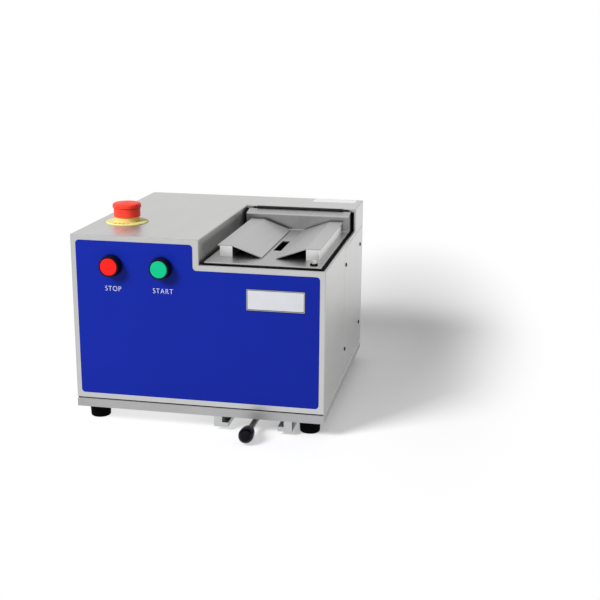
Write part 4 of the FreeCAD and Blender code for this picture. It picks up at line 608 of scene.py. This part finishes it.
def enamel(name, shade):
    """Stoved enamel with a light orange peel."""
    finish = Finish(name, coat_weight=0.25, coat_roughness=0.2)
    drift = finish.noise(scale=25.0, detail=3.0)
    peel = finish.noise(scale=500.0, detail=2.0)
    finish.feed("Base Color", finish.blend(drift, tint(shade, 0.8), tint(shade, 1.2)))
    finish.feed("Roughness", 0.35 + 0.15 * drift)
    finish.relief(peel, depth=0.00004, strength=0.4, rounded=0.0005)
    return finish


dress(enamel("motor_enamel", shade=(0.035, 0.04, 0.045)), "saw_motor", "feed_gearmotor")
dress(moulded("device_grey", shade=(0.42, 0.44, 0.44), rough=0.5),
      "contactor", "power_supply", "terminal_block", "switch_contacts")
dress(moulded("inlet_black", shade=(0.012, 0.012, 0.013), rough=0.45), "power_inlet")


# Studio floor: white paper that keeps the machine's shadow. Close round the machine a painted light lifts
# the shadow a little; away from a spot at the right rear, the heart of the shadow, the paper pales to plain
# white.

FLOOR_REACH = 12.0
SHADOW_HEART = (0.2, 0.3, 0.0)
SHADOW_SHAPE = (3.2, 1.0, 1.0)
WHITE = (1.0, 1.0, 1.0, 1.0)


def seen(nodes):
    """1 for rays from the camera, or that a shiny or clear surface sends on; 0 for light on the object."""
    ray = nodes.node("ShaderNodeLightPath")
    return (ray["Is Camera Ray"] + ray["Is Glossy Ray"] + ray["Is Transmission Ray"]).above(0.0)


def fade(nodes, value, start, end, low, high):
    """Smooth change from low to high while the value goes from start to end."""
    step = nodes.node("ShaderNodeMapRange", {"interpolation_type": "SMOOTHSTEP"},
                      {"Value": value, "From Min": start, "From Max": end, "To Min": low, "To Max": high})
    return step["Result"]


paper = Finish("white_paper", base_color=(0.6, 0.6, 0.6, 1.0), roughness=0.9, specular_ior_level=0.0)
heart = tuple(spot * scale for spot, scale in zip(SHADOW_HEART, SHADOW_SHAPE))
from_heart = paper.node("ShaderNodeVectorMath", {"operation": "DISTANCE"},
                        {0: paper.stretched(SHADOW_SHAPE), 1: heart})["Value"]
from_machine = paper.node("ShaderNodeVectorMath", {"operation": "LENGTH"}, {0: paper.place()})["Value"]
paling = fade(paper, from_heart, start=0.2, end=0.95, low=0.04, high=1.0)
contact = fade(paper, from_machine, start=0.2, end=0.45, low=0.57, high=1.0)
# Painted light: close round the machine a glow lifts the floor's shadow a little.
painted_light_near_machine = fade(paper, from_machine, start=0.2, end=0.55, low=0.17, high=0.0)
glow = paper.node("ShaderNodeEmission", None, {"Color": WHITE, "Strength": 1.0})
shaded = paper.node("ShaderNodeBsdfDiffuse", None, {"Color": (0.98, 0.98, 0.98, 1.0)})
shown = paper.node("ShaderNodeMixShader", None,
                   {0: paling * contact + painted_light_near_machine, 1: shaded["BSDF"], 2: glow["Emission"]})
lit = Wire(paper, paper.shader.outputs["BSDF"])
paper_surface = paper.node("ShaderNodeMixShader", None, {0: seen(paper), 1: lit, 2: shown["Shader"]})
paper.tree.links.new(paper_surface["Shader"].socket, paper.tree.nodes["Material Output"].inputs["Surface"])

corners = [(x * FLOOR_REACH, y * FLOOR_REACH, 0.0) for x, y in ((-1, -1), (1, -1), (1, 1), (-1, 1))]
floor_mesh = bpy.data.meshes.new("white_floor")
floor_mesh.from_pydata(corners, [], [(0, 1, 2, 3)])
floor_mesh.materials.append(paper.material)
floor = bpy.data.objects.new("white_floor", floor_mesh)
bpy.context.scene.collection.objects.link(floor)


# Studio light: a white sky that lights softly, one large soft box at the front left that no metal
# mirrors, a small one in the same place for its glint, and a wide one overhead.

SKY_LIGHT = 0.24
KEY_PLACE = (-1.35, -1.55, 1.55)
KEY_AIM = (0.0, 0.0, 0.12)

world = bpy.data.worlds.new("studio")
bpy.context.scene.world = world
world.use_nodes = True
sky = Nodes(world.node_tree)
background = world.node_tree.nodes["Background"].inputs
background["Color"].default_value = WHITE
world.node_tree.links.new((seen(sky) * (1.0 - SKY_LIGHT) + SKY_LIGHT).socket, background["Strength"])


def soft_lamp(name, place, aim, width, power, mirrored=True):
    """Square soft box that looks at a point; one that isn't mirrored lights but shows in no metal."""
    light = bpy.data.lights.new(name, "AREA")
    light.shape = "SQUARE"
    light.size = width
    light.energy = power
    lamp = bpy.data.objects.new(name, light)
    lamp.location = place
    lamp.visible_glossy = mirrored
    lamp.rotation_euler = (Vector(aim) - Vector(place)).to_track_quat("-Z", "Y").to_euler()
    bpy.context.scene.collection.objects.link(lamp)


soft_lamp("key_lamp", KEY_PLACE, KEY_AIM, width=0.95, power=74.0, mirrored=False)
soft_lamp("glint_lamp", KEY_PLACE, KEY_AIM, width=0.22, power=4.0)
soft_lamp("top_lamp", (0.2, 0.2, 2.2), (0.0, 0.0, 0.1), width=2.4, power=7.0)


# Camera: it stands where the photograph's camera stood, to the right of the machine's front and
# above it. Its place, turns and focal length were worked out from the casing's edges.

CAMERA_PLACE = (0.3962, -1.49035, 0.5573)
CAMERA_YAW = math.radians(10.81)
CAMERA_PITCH = math.radians(15.03)
CAMERA_ROLL = math.radians(0.45)
FOCAL_PIXELS = 1075.1
PHOTO_WIDTH = 600
SENSOR = 36.0

lens = bpy.data.cameras.new("photo_camera")
lens.sensor_width = SENSOR
lens.lens = FOCAL_PIXELS / PHOTO_WIDTH * SENSOR
lens.clip_end = 50.0
camera = bpy.data.objects.new("photo_camera", lens)
camera.matrix_world = (Matrix.Translation(CAMERA_PLACE) @ Matrix.Rotation(CAMERA_YAW, 4, "Z")
                       @ Matrix.Rotation(math.radians(90) - CAMERA_PITCH, 4, "X")
                       @ Matrix.Rotation(CAMERA_ROLL, 4, "Z"))
bpy.context.scene.collection.objects.link(camera)
bpy.context.scene.camera = camera
bpy.context.scene.view_settings.view_transform = "Standard"
